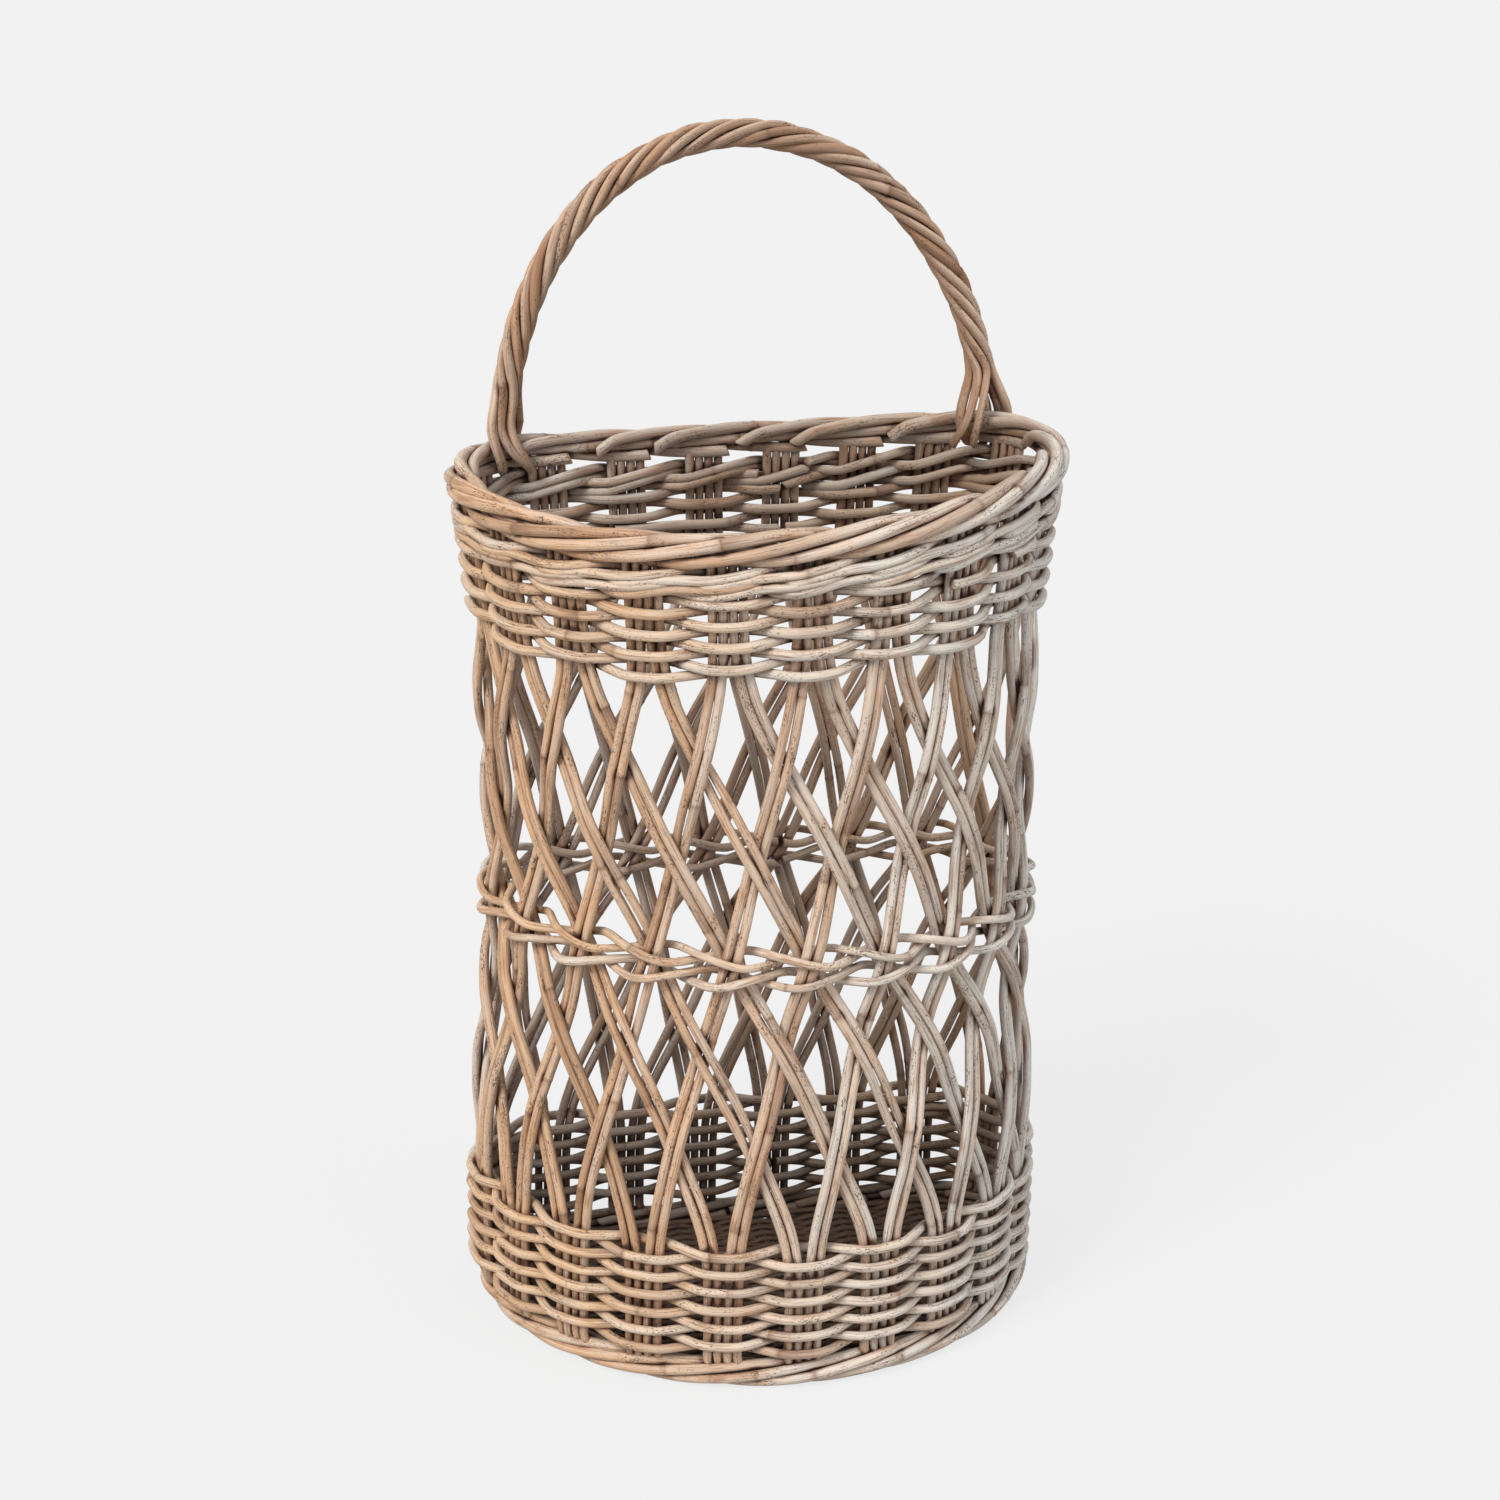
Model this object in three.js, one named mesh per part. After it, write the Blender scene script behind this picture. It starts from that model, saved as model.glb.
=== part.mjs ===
// Half-round hanging basket of split rattan cane with a roped arch handle.
// Millimetres, +X right, +Y towards the wall that the flat back hangs against, +Z up.
// The wall is plotted on a D-shaped outline. A place on it is given as a turn, the
// fraction of the way round from the middle of the back, clockwise seen from above,
// a height, and a stand-off outwards from the middle of the upright canes.

import * as THREE from 'three';

// The D-shaped outline through the middle of the upright canes, at five levels: the foot
// border, the low band, the waist, the shoulder where the top band starts, and the rim.
// A shift is how far the middle of a level stands to the right.
const FOOT_HALF_WIDTH = 142.5;
const LOW_HALF_WIDTH = 146.5;
const WAIST_HALF_WIDTH = 138.5;
const SHOULDER_HALF_WIDTH = 140;
const RIM_HALF_WIDTH = 148;
const FOOT_DEPTH = 172;
const LOW_DEPTH = 173;
const WAIST_DEPTH = 165;
const SHOULDER_DEPTH = 165;
const RIM_DEPTH = 166;
const FOOT_SHIFT = 4.5;
const LOW_SHIFT = 2;
const WAIST_SHIFT = 2.5;
const SHOULDER_SHIFT = 0;
const RIM_SHIFT = -1;
const CORNER_RADIUS = 42;

// Clearances between canes that lie against each other
const SEAT_GAP = 0.3;
const ROW_GAP = 0.35;
const CROSSING_GAP = 0.8;
const BUTT_GAP = 1;

// Upright canes: stations of two pairs, which part at the low band and lean both ways
const STATIONS = 19;
const FIRST_STATION = 0.55;
const CANE = 4.6;
const LATTICE_HEIGHT = 304;
const RIGHT_LEAN_STATIONS = 2;
const LEFT_LEAN_STATIONS = 4;
const CROSSING_HEIGHTS = [0.18, 0.37, 0.508, 0.7, 0.87];
const WAIST_CROSSING = 3;
const CROSSING_CLEARANCE = 1.75;
const PAIR_CREST = 0.57;
const PAIR_GROOVE = 0.1;

// Base panel, with a ridge over each of its sticks, and the roped foot border round it
const BASE_THICKNESS = 7;
const BASE_WEAVE = 3.5;
const BASE_STICK_SPACING = 15;
const BASE_RIDGE_FLAT = 5;
const BASE_VALLEY_FLAT = 4;
const BASE_END = 1;
const BASE_EDGE_STEPS = 360;
const FOOT_STRAND = 7;
const FOOT_STRANDS = 3;
const FOOT_TWISTS = 5;
const FOOT_LIFT = 0.1;

// Woven bands
const LOW_ROD = 4;
const LOW_ROWS = 12;
const WAIST_ROD = 3.8;
const WAIST_ROW_SPACING = 11;
const TOP_ROD = 5;
const TOP_ROWS = 8;
const WALE_ROWS = 2;
const WALE_SPAN = 2;
const WEAVER_TURNS = 4;
const BAND_MARGIN = 1;

// Roped rim border
const BARE_STAKE = 3.5;
const RIM_STRAND = 8.4;
const RIM_STRANDS = 3;
const RIM_TWISTS = 4;
const RIM_FRONT_DROP = 4;

// How the hand-made wall settles: slope of a level to the right, rise of its back,
// drop of its front and how much more it slopes at the front than at the back
const LOW_SLOPE = 0.018;
const WAIST_SLOPE = -0.025;
const RIM_SLOPE = 0.012;
const LOW_BACK_RISE = 6;
const WAIST_BACK_RISE = -3.5;
const TOP_FRONT_DROP = 1.5;
const TOP_TWIST = 8;

// Roped handle
const HANDLE_HALF_SPAN = 125;
const HANDLE_RISE = 156;
const HANDLE_FOOT_LEAN = 4;
const HANDLE_TOP_LEAN = -3.5;
const HANDLE_BOW = 6;
const HANDLE_CANE = 4.6;
const HANDLE_STRANDS = 3;
const HANDLE_TURNS = 4.5;
const HANDLE_SPLAY = 15.5;
const HANDLE_TAIL = 12;
const TAIL_GAP = 0.5;

// Facets
const RING_STEPS = 48;
const HANDLE_STEPS_PER_TURN = 10;
const BOW_END_STEPS = 4;
const ROUND_SIDES = 5;

const UP = new THREE.Vector3(0, 0, 1);
const FORWARD = new THREE.Vector3(0, -1, 0);

// Radius to the outside of a rope of round strands that touch each other
function ropeRadius(strand, count) {
  return ropeCoreRadius(strand, count) + strand / 2;
}

function ropeCoreRadius(strand, count) {
  return (strand + SEAT_GAP) / 2 / Math.sin(Math.PI / count);
}

// Heights, stacked up from the foot
const footRadius = ropeRadius(FOOT_STRAND, FOOT_STRANDS);
const rimRadius = ropeRadius(RIM_STRAND, RIM_STRANDS);
const lowPitch = LOW_ROD + ROW_GAP;
const topPitch = TOP_ROD + ROW_GAP;
const footZ = FOOT_LIFT + footRadius;
const stakeFootZ = footZ + footRadius + SEAT_GAP;
const lowStartZ = stakeFootZ + LOW_ROD / 2;
const latticeFootZ = lowStartZ + LOW_ROWS * lowPitch + LOW_ROD / 2 + BAND_MARGIN;
const latticeTopZ = latticeFootZ + LATTICE_HEIGHT;
const topStartZ = latticeTopZ + BAND_MARGIN + TOP_ROD / 2;
const topEndZ = topStartZ + (TOP_ROWS + WALE_ROWS) * topPitch + TOP_ROD / 2;
const stakeTopZ = topEndZ + BARE_STAKE;
const rimZ = stakeTopZ + SEAT_GAP + rimRadius;
const waistZ = latticeFootZ + LATTICE_HEIGHT * CROSSING_HEIGHTS[WAIST_CROSSING - 1];
const backY = RIM_DEPTH / 2;

// D-shaped outline: back straight, rounded back corners, half-elliptical front
function outline(halfWidth, depth, shift) {
  const straight = halfWidth - CORNER_RADIUS;
  const cornerY = backY - CORNER_RADIUS;
  const path = new THREE.Path();
  path.moveTo(shift, backY);
  path.lineTo(shift + straight, backY);
  path.absarc(shift + straight, cornerY, CORNER_RADIUS, Math.PI / 2, 0, true);
  path.absellipse(shift, cornerY, halfWidth, depth - CORNER_RADIUS, 0, Math.PI, true);
  path.absarc(shift - straight, cornerY, CORNER_RADIUS, Math.PI, Math.PI / 2, true);
  path.lineTo(shift, backY);
  return path;
}

const lowOutline = outline(LOW_HALF_WIDTH, LOW_DEPTH, LOW_SHIFT);
const waistOutline = outline(WAIST_HALF_WIDTH, WAIST_DEPTH, WAIST_SHIFT);
const rimOutline = outline(RIM_HALF_WIDTH, RIM_DEPTH, RIM_SHIFT);
const pitch = waistOutline.getLength() / STATIONS;

// The wall is straight from level to level in the bands, and bends gently in the lattice
const levels = [
  { z: footZ, path: outline(FOOT_HALF_WIDTH, FOOT_DEPTH, FOOT_SHIFT) },
  { z: stakeFootZ, path: lowOutline },
  { z: latticeFootZ, path: lowOutline },
  { z: waistZ, path: waistOutline, bent: true },
  { z: latticeTopZ, path: outline(SHOULDER_HALF_WIDTH, SHOULDER_DEPTH, SHOULDER_SHIFT), bent: true },
  { z: rimZ, path: rimOutline },
];

// Shares of the levels' outlines at a height, from 0 to 1
function levelShares(z) {
  const risen = levels.slice(1).map((level, i) => {
    const below = levels[i].z;
    return level.bent ? THREE.MathUtils.smoothstep(z, below, level.z) : rise(z, below, level.z);
  });
  return [1, ...risen].map((share, i) => share - (risen[i] ?? 0));
}

// The place and the outward direction on the wall at a turn and height
function wallFrame(turn, z) {
  const lap = turn - Math.floor(turn);
  const shares = levelShares(z);
  const at = new THREE.Vector2();
  const along = new THREE.Vector2();
  levels.forEach(({ path }, i) => {
    if (shares[i] === 0) return;
    at.addScaledVector(path.getPoint(lap), shares[i]);
    along.addScaledVector(path.getTangent(lap), shares[i]);
  });
  along.normalize();
  return {
    at: new THREE.Vector3(at.x, at.y, settledZ(z, at.x, at.y)),
    along: new THREE.Vector3(along.x, along.y, 0),
    outward: new THREE.Vector3(-along.y, along.x, 0),
  };
}

// How much of a change between two heights has happened, from 0 to 1
function rise(z, low, high) {
  return THREE.MathUtils.clamp((z - low) / (high - low), 0, 1);
}

// Hand weaving settles: the levels slope a little, and their back and front rise or sink
function settledZ(z, x, y) {
  const toLow = rise(z, stakeFootZ, latticeFootZ);
  const toWaist = rise(z, latticeFootZ, waistZ);
  const toTop = rise(z, waistZ, latticeTopZ);
  const forward = forwardShare(y);
  const slope = LOW_SLOPE * (toLow - toWaist) + WAIST_SLOPE * (toWaist - toTop) + RIM_SLOPE * toTop;
  const backRise = LOW_BACK_RISE * (toLow - toWaist) + WAIST_BACK_RISE * (toWaist - toTop);
  const top = TOP_TWIST * (x / RIM_HALF_WIDTH) * forward - TOP_FRONT_DROP * forward ** 2;
  return z + slope * x + backRise * (1 - forward) ** 2 + top * toTop;
}

// 0 at the back, rising to 1 at the front
function forwardShare(y) {
  return (backY - y) / RIM_DEPTH;
}

function wallPoint(turn, z, standOff) {
  const frame = wallFrame(turn, z);
  return { point: frame.at.addScaledVector(frame.outward, standOff), outward: frame.outward };
}

function stationTurn(station, shift) {
  return (station + FIRST_STATION + shift / pitch) / STATIONS;
}

// Closed solid: a section swept through stops, each with a point and an outward direction.
// The section is listed as [across, outwards] and turns with the outward direction.
// Each four-sided facet is split along the diagonal that lies nearer the rod's own middle,
// so that no facet of a twisted rod bulges past its edges.
function sweep(stops, section, closed = false) {
  const count = stops.length;
  const sides = section.length;
  const corners = [];
  stops.forEach(({ point, outward }, i) => {
    const before = stops[closed ? (i + count - 1) % count : Math.max(i - 1, 0)].point;
    const after = stops[closed ? (i + 1) % count : Math.min(i + 1, count - 1)].point;
    const arriving = point.clone().sub(before).normalize();
    const leaving = after.clone().sub(point).normalize();
    const tangent = arriving.add(leaving).normalize();
    const across = tangent.clone().cross(outward).normalize();
    const normal = across.clone().cross(tangent);
    section.forEach(([a, b]) => {
      corners.push(point.clone().addScaledVector(across, a).addScaledVector(normal, b));
    });
  });
  const faces = [];
  const spans = closed ? count : count - 1;
  for (let i = 0; i < spans; i += 1) {
    const here = i * sides;
    const next = ((i + 1) % count) * sides;
    const middle = stops[i].point.clone().lerp(stops[(i + 1) % count].point, 0.5);
    const reach = (from, to) => from.clone().lerp(to, 0.5).distanceTo(middle);
    for (let j = 0; j < sides; j += 1) {
      const k = (j + 1) % sides;
      const rising = reach(corners[here + j], corners[next + k]);
      const falling = reach(corners[here + k], corners[next + j]);
      if (falling < rising) {
        faces.push(here + j, next + j, here + k);
        faces.push(here + k, next + j, next + k);
      } else {
        faces.push(here + j, next + j, next + k);
        faces.push(here + j, next + k, here + k);
      }
    }
  }
  if (!closed) {
    const last = (count - 1) * sides;
    const flat = section.map(([a, b]) => new THREE.Vector2(a, b));
    THREE.ShapeUtils.triangulateShape(flat, []).forEach(([a, b, c]) => {
      faces.push(a, b, c);
      faces.push(last + a, last + c, last + b);
    });
  }
  const geometry = new THREE.BufferGeometry().setFromPoints(corners);
  geometry.setIndex(faces);
  return geometry;
}

// Closed solid through slices with the same number of corners, listed the same way round
function loft(slices) {
  const sides = slices[0].length;
  const last = (slices.length - 1) * sides;
  const faces = [];
  for (let here = 0; here < last; here += sides) {
    for (let j = 0; j < sides; j += 1) {
      const k = (j + 1) % sides;
      faces.push(here + j, here + sides + j, here + sides + k);
      faces.push(here + j, here + sides + k, here + k);
    }
  }
  for (let j = 1; j < sides - 1; j += 1) {
    faces.push(0, j, j + 1);
    faces.push(last, last + j + 1, last + j);
  }
  const geometry = new THREE.BufferGeometry().setFromPoints(slices.flat());
  geometry.setIndex(faces);
  return geometry;
}

// Two round canes side by side, as one section with a groove along the middle of each face
function pairSection(cane) {
  const half = cane / 2;
  const crest = cane * PAIR_CREST;
  const groove = cane * PAIR_GROOVE;
  return [
    [cane, 0], [crest, half], [0, groove], [-crest, half],
    [-cane, 0], [-crest, -half], [0, -groove], [crest, -half],
  ];
}

function squareSection(rod) {
  const half = rod / 2;
  return [[half, -half], [half, half], [-half, half], [-half, -half]];
}

// A round cane, with an edge along its inner side
function roundSection(diameter) {
  return Array.from({ length: ROUND_SIDES }, (_, i) => {
    const angle = (2 * Math.PI * i) / ROUND_SIDES;
    return [(Math.sin(angle) * diameter) / 2, (-Math.cos(angle) * diameter) / 2];
  });
}

// Upright pairs of canes
const pairShift = CANE + SEAT_GAP / 2;
const stationHalf = 2 * pairShift;
const crossingOffset = (CANE + CROSSING_GAP) / 2;
const relativeShift = (RIGHT_LEAN_STATIONS + LEFT_LEAN_STATIONS) * pitch - 2 * stationHalf;

// Heights and shares of the lean where the two families part, cross and meet
const latticeLevels = [0, ...CROSSING_HEIGHTS, 1].map(
  (height) => latticeFootZ + height * LATTICE_HEIGHT,
);
const latticeShares = latticeLevels.map((_, row) => {
  if (row === 0) return 0;
  if (row === latticeLevels.length - 1) return 1;
  return (row * pitch - stationHalf) / relativeShift;
});

// Height above or below a crossing at which the two pairs have cleared each other
function crossingReach(row, step) {
  const rise = Math.abs(latticeLevels[row + step] - latticeLevels[row]);
  const run = Math.abs(latticeShares[row + step] - latticeShares[row]) * relativeShift;
  return (CROSSING_CLEARANCE * CANE * rise) / run;
}

// A pair leans left (1) or right (-1) seen from outside, and goes over and under the others
function uprightPair(station, lean) {
  const stations = lean > 0 ? LEFT_LEAN_STATIONS : RIGHT_LEAN_STATIONS;
  const travel = lean * (stations * pitch - 2 * pairShift);
  const stopAt = (share, z, standOff) => {
    const shift = lean * pairShift + share * travel;
    return wallPoint(stationTurn(station, shift), z, standOff);
  };
  const stops = [stopAt(0, stakeFootZ, 0), stopAt(0, latticeFootZ, 0)];
  CROSSING_HEIGHTS.forEach((_, i) => {
    const row = i + 1;
    const outside = row % 2 === 1 ? -lean : lean;
    [-1, 1].forEach((step) => {
      const reach = crossingReach(row, step);
      const part = reach / Math.abs(latticeLevels[row + step] - latticeLevels[row]);
      const share = THREE.MathUtils.lerp(latticeShares[row], latticeShares[row + step], part);
      stops.push(stopAt(share, latticeLevels[row] + step * reach, outside * crossingOffset));
    });
  });
  stops.push(stopAt(1, latticeTopZ, 0));
  const top = stopAt(1, stakeTopZ, 0);
  top.point.z -= RIM_FRONT_DROP * forwardShare(top.point.y) ** 2;
  stops.push(top);
  return sweep(stops, pairSection(CANE));
}

// How far the wall bulges outside a chord that spans a group of canes
function bulge(station, halfSpan, z) {
  const left = wallFrame(stationTurn(station, -halfSpan), z).at;
  const right = wallFrame(stationTurn(station, halfSpan), z).at;
  const middle = wallFrame(stationTurn(station, 0), z);
  return middle.at.sub(left.add(right).multiplyScalar(0.5)).dot(middle.outward);
}

// A rod woven in and out of the stations, from the middle of one to the middle of another.
// side(step) is 1 outside and -1 inside; height(step, edge) is the rod's height there.
function weave({ from, to, standOff, halfSpan, rod, side, height }) {
  const stops = [];
  for (let step = from; step <= to; step += 1) {
    const out = side(step);
    const level = height(step, 0);
    const distance = standOff + (out > 0 ? bulge(step, halfSpan, level) : 0);
    const edges = [-halfSpan, halfSpan];
    if (step === from) edges[0] = BUTT_GAP / 2;
    if (step === to) edges[1] = -BUTT_GAP / 2;
    edges.forEach((shift) => {
      const z = height(step, shift / halfSpan);
      stops.push(wallPoint(stationTurn(step, shift), z, out * distance));
    });
  }
  return sweep(stops, squareSection(rod));
}

// Plain weave: one rod spirals up, outside every other station
function bandWeaver(index, startZ, rowPitch, rod) {
  const steps = WEAVER_TURNS * STATIONS;
  return weave({
    from: index * steps,
    to: (index + 1) * steps,
    standOff: CANE / 2 + SEAT_GAP + rod / 2,
    halfSpan: stationHalf + BAND_MARGIN,
    rod,
    side: (step) => (step % 2 === 0 ? -1 : 1),
    height: (step, edge) => startZ + (rowPitch * (step + (edge * stationHalf) / pitch)) / STATIONS,
  });
}

// Wale: a heavier row that lies over two stations and under two
function waleRod(index) {
  const start = (TOP_ROWS + index) * STATIONS;
  return weave({
    from: start,
    to: start + STATIONS,
    standOff: CANE / 2 + SEAT_GAP + TOP_ROD / 2,
    halfSpan: stationHalf + BAND_MARGIN,
    rod: TOP_ROD,
    side: (step) => (step % (2 * WALE_SPAN) < WALE_SPAN ? -1 : 1),
    height: (step, edge) => topStartZ + (topPitch * (step + (edge * stationHalf) / pitch)) / STATIONS,
  });
}

// Pairing at the waist: two rods twist round each crossing, and the rows twist opposite ways
function waistRod(row, first) {
  const sink = (WAIST_ROD + CROSSING_GAP) / 2;
  const twist = row === 0 ? -1 : 1;
  const level = waistZ + (twist * WAIST_ROW_SPACING) / 2;
  const side = (step) => ((step + first) % 2 === 0 ? 1 : -1);
  return weave({
    from: 0,
    to: STATIONS,
    standOff: crossingOffset + CANE / 2 + SEAT_GAP + WAIST_ROD / 2,
    halfSpan: stationHalf - BAND_MARGIN / 2,
    rod: WAIST_ROD,
    side,
    height: (step, edge) => level + twist * side(step) * edge * sink,
  });
}

// A strand of a rope that runs round the wall as a closed ring
function ringStrand({ z, strand, strands, index, twists, drop }) {
  const core = ropeCoreRadius(strand, strands);
  const stops = Array.from({ length: RING_STEPS }, (_, i) => {
    const turn = i / RING_STEPS;
    const angle = 2 * Math.PI * (index / strands - twists * turn);
    const { at, outward } = wallFrame(turn, z);
    at.z -= drop * forwardShare(at.y) ** 2;
    at.addScaledVector(outward, core * Math.cos(angle));
    at.addScaledVector(UP, core * Math.sin(angle));
    return { point: at, outward };
  });
  return sweep(stops, roundSection(strand), true);
}

// Nearest and farthest place where a line from front to back meets the edge of the base
function baseSpan(edge, x) {
  const met = [];
  edge.forEach((here, i) => {
    const next = edge[(i + 1) % edge.length];
    const crossed = (here.x < x) !== (next.x < x);
    if (crossed) met.push(THREE.MathUtils.mapLinear(x, here.x, next.x, here.y, next.y));
  });
  return [Math.min(...met), Math.max(...met)];
}

// Base panel: a woven D inside the foot border, as slices from left to right. It is thick
// where the weave humps over a stick and thin between the sticks.
function basePanel() {
  const below = Math.max(footZ - BASE_THICKNESS, 0);
  const inset = Math.sqrt(Math.max(footRadius ** 2 - below ** 2, 0)) + SEAT_GAP;
  const edge = Array.from({ length: BASE_EDGE_STEPS }, (_, i) => (
    wallPoint(i / BASE_EDGE_STEPS, footZ, -inset).point
  ));
  const left = Math.min(...edge.map((point) => point.x)) + BASE_END;
  const right = Math.max(...edge.map((point) => point.x)) - BASE_END;
  const slices = [{ x: left, thickness: BASE_WEAVE }];
  for (let ridge = firstStick(left); ridge < right; ridge += BASE_STICK_SPACING) {
    const valley = ridge + BASE_STICK_SPACING / 2;
    slices.push({ x: ridge - BASE_RIDGE_FLAT / 2, thickness: BASE_THICKNESS });
    slices.push({ x: ridge + BASE_RIDGE_FLAT / 2, thickness: BASE_THICKNESS });
    slices.push({ x: valley - BASE_VALLEY_FLAT / 2, thickness: BASE_WEAVE });
    slices.push({ x: valley + BASE_VALLEY_FLAT / 2, thickness: BASE_WEAVE });
  }
  const kept = slices.filter(({ x }) => x >= left && x < right);
  kept.push({ x: right, thickness: BASE_WEAVE });
  return loft(kept.map(({ x, thickness }) => {
    const [near, far] = baseSpan(edge, x);
    const low = (BASE_THICKNESS - thickness) / 2;
    const high = low + thickness;
    const corners = [[near, low], [near, high], [far, high], [far, low]];
    return corners.map(([y, z]) => new THREE.Vector3(x, y, z));
  }));
}

// Place of the first base stick to the right of a place; one stick is in the middle
function firstStick(x) {
  return Math.ceil(x / BASE_STICK_SPACING) * BASE_STICK_SPACING;
}

// Turn of the rim at a distance to the right of the middle of the base
function rimTurnAt(x) {
  const straight = RIM_HALF_WIDTH - CORNER_RADIUS;
  const reach = Math.abs(x - RIM_SHIFT);
  const past = reach - straight;
  const arc = past > 0 ? straight + CORNER_RADIUS * Math.asin(past / CORNER_RADIUS) : reach;
  return (Math.sign(x - RIM_SHIFT) * arc) / rimOutline.getLength();
}

const leftFoot = wallFrame(rimTurnAt(HANDLE_FOOT_LEAN - HANDLE_HALF_SPAN), rimZ);
const rightFoot = wallFrame(rimTurnAt(HANDLE_FOOT_LEAN + HANDLE_HALF_SPAN), rimZ);
const splitZ = rimZ + rimRadius + HANDLE_SPLAY;

// Arch of the bow in its own plane: a half ellipse over the rim, cut at two heights
function bowArch(leftZ, rightZ) {
  const leftAngle = Math.PI - Math.asin((leftZ - rimZ) / HANDLE_RISE);
  const rightAngle = Math.asin((rightZ - rimZ) / HANDLE_RISE);
  return new THREE.Path().absellipse(0, rimZ, HANDLE_HALF_SPAN, HANDLE_RISE, leftAngle, rightAngle, true);
}

// The arch leans, with its feet off to one side and its top to the other
function bowFrame(path, share) {
  const flat = path.getPoint(share);
  const slope = path.getTangent(share);
  const height = (flat.y - rimZ) / HANDLE_RISE;
  const lean = THREE.MathUtils.lerp(HANDLE_FOOT_LEAN, HANDLE_TOP_LEAN, height);
  const at = new THREE.Vector3(flat.x + lean, leftFoot.at.y, flat.y);
  const along = new THREE.Vector3(slope.x, 0, slope.y).normalize();
  return { at, along, away: FORWARD.clone().cross(along).normalize() };
}

function handleBow() {
  const seat = rimRadius + SEAT_GAP;
  const path = bowArch(leftFoot.at.z + seat, rightFoot.at.z + seat);
  const steps = Math.round(HANDLE_TURNS * HANDLE_STEPS_PER_TURN) + BOW_END_STEPS;
  const stops = Array.from({ length: steps + 1 }, (_, i) => {
    const { at } = bowFrame(path, i / steps);
    return { point: at, outward: FORWARD };
  });
  return sweep(stops, roundSection(HANDLE_BOW));
}

// Tail of a handle strand beside the rim border: inside the basket or behind it
function strandTail(foot, away, angle) {
  const inside = Math.cos(angle) > 0 ? 1 : -1;
  const besideRim = rimRadius + TAIL_GAP + HANDLE_CANE / 2;
  const beside = Math.sin(angle) / Math.sin((2 * Math.PI) / HANDLE_STRANDS);
  const spread = beside * (HANDLE_CANE + SEAT_GAP / 2);
  const along = foot.along.clone().multiplyScalar(Math.sign(foot.along.dot(away)));
  const outward = foot.outward.clone().multiplyScalar(-inside);
  return [rimRadius, -HANDLE_TAIL].map((height) => ({
    point: foot.at.clone().addScaledVector(outward, besideRim)
      .addScaledVector(along, spread).addScaledVector(UP, height),
    outward,
  }));
}

// A strand of two canes wound round the bow, its tails straddling the rim border
function handleStrand(index) {
  const path = bowArch(splitZ, splitZ);
  const radius = HANDLE_BOW / 2 + SEAT_GAP + HANDLE_CANE / 2 + SEAT_GAP / 2;
  const steps = Math.round(HANDLE_TURNS * HANDLE_STEPS_PER_TURN);
  const angleAt = (share) => 2 * Math.PI * (index / HANDLE_STRANDS + HANDLE_TURNS * share);
  const wound = Array.from({ length: steps + 1 }, (_, i) => {
    const { at, away } = bowFrame(path, i / steps);
    const angle = angleAt(i / steps);
    const outward = FORWARD.clone().multiplyScalar(Math.cos(angle)).addScaledVector(away, Math.sin(angle));
    return { point: at.addScaledVector(outward, radius), outward };
  });
  const leftTail = strandTail(leftFoot, bowFrame(path, 0).away, angleAt(0)).reverse();
  const rightTail = strandTail(rightFoot, bowFrame(path, 1).away, angleAt(1));
  return sweep([...leftTail, ...wound, ...rightTail], pairSection(HANDLE_CANE));
}

const upright = new THREE.MeshStandardMaterial({ color: 0xbfa78a, roughness: 0.8, metalness: 0 });
const weaving = new THREE.MeshStandardMaterial({ color: 0xc8b090, roughness: 0.78, metalness: 0 });
const border = new THREE.MeshStandardMaterial({ color: 0xc4ab88, roughness: 0.75, metalness: 0 });
const handle = new THREE.MeshStandardMaterial({ color: 0xa98665, roughness: 0.72, metalness: 0 });
const base = new THREE.MeshStandardMaterial({ color: 0x7a6552, roughness: 0.85, metalness: 0 });

const basket = new THREE.Group();

function add(name, geometry, material) {
  const mesh = new THREE.Mesh(geometry, material);
  mesh.name = name;
  basket.add(mesh);
}

add('base_panel', basePanel(), base);
for (let i = 0; i < FOOT_STRANDS; i += 1) {
  const rope = { z: footZ, strand: FOOT_STRAND, strands: FOOT_STRANDS, twists: FOOT_TWISTS };
  add(`foot_border_strand_${i + 1}`, ringStrand({ ...rope, index: i, drop: 0 }), border);
}
for (let i = 0; i < STATIONS; i += 1) {
  const number = String(i + 1).padStart(2, '0');
  add(`right_leaning_pair_${number}`, uprightPair(i, -1), upright);
  add(`left_leaning_pair_${number}`, uprightPair(i, 1), upright);
}
for (let i = 0; i < LOW_ROWS / WEAVER_TURNS; i += 1) {
  add(`low_band_weaver_${i + 1}`, bandWeaver(i, lowStartZ, lowPitch, LOW_ROD), weaving);
}
[[0, 0], [0, 1], [1, 0], [1, 1]].forEach(([row, first], i) => {
  add(`waist_band_rod_${i + 1}`, waistRod(row, first), weaving);
});
for (let i = 0; i < TOP_ROWS / WEAVER_TURNS; i += 1) {
  add(`top_band_weaver_${i + 1}`, bandWeaver(i, topStartZ, topPitch, TOP_ROD), weaving);
}
for (let i = 0; i < WALE_ROWS; i += 1) {
  add(`top_wale_rod_${i + 1}`, waleRod(i), weaving);
}
for (let i = 0; i < RIM_STRANDS; i += 1) {
  const rope = { z: rimZ, strand: RIM_STRAND, strands: RIM_STRANDS, twists: RIM_TWISTS };
  add(`rim_border_strand_${i + 1}`, ringStrand({ ...rope, index: i, drop: RIM_FRONT_DROP }), border);
}
add('handle_bow', handleBow(), handle);
for (let i = 0; i < HANDLE_STRANDS; i += 1) {
  add(`handle_strand_${i + 1}`, handleStrand(i), handle);
}

// The origin is under the middle of the basket's box
const box = new THREE.Box3().setFromObject(basket);
basket.position.set(-(box.min.x + box.max.x) / 2, -(box.min.y + box.max.y) / 2, -box.min.z);

export default basket;
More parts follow.
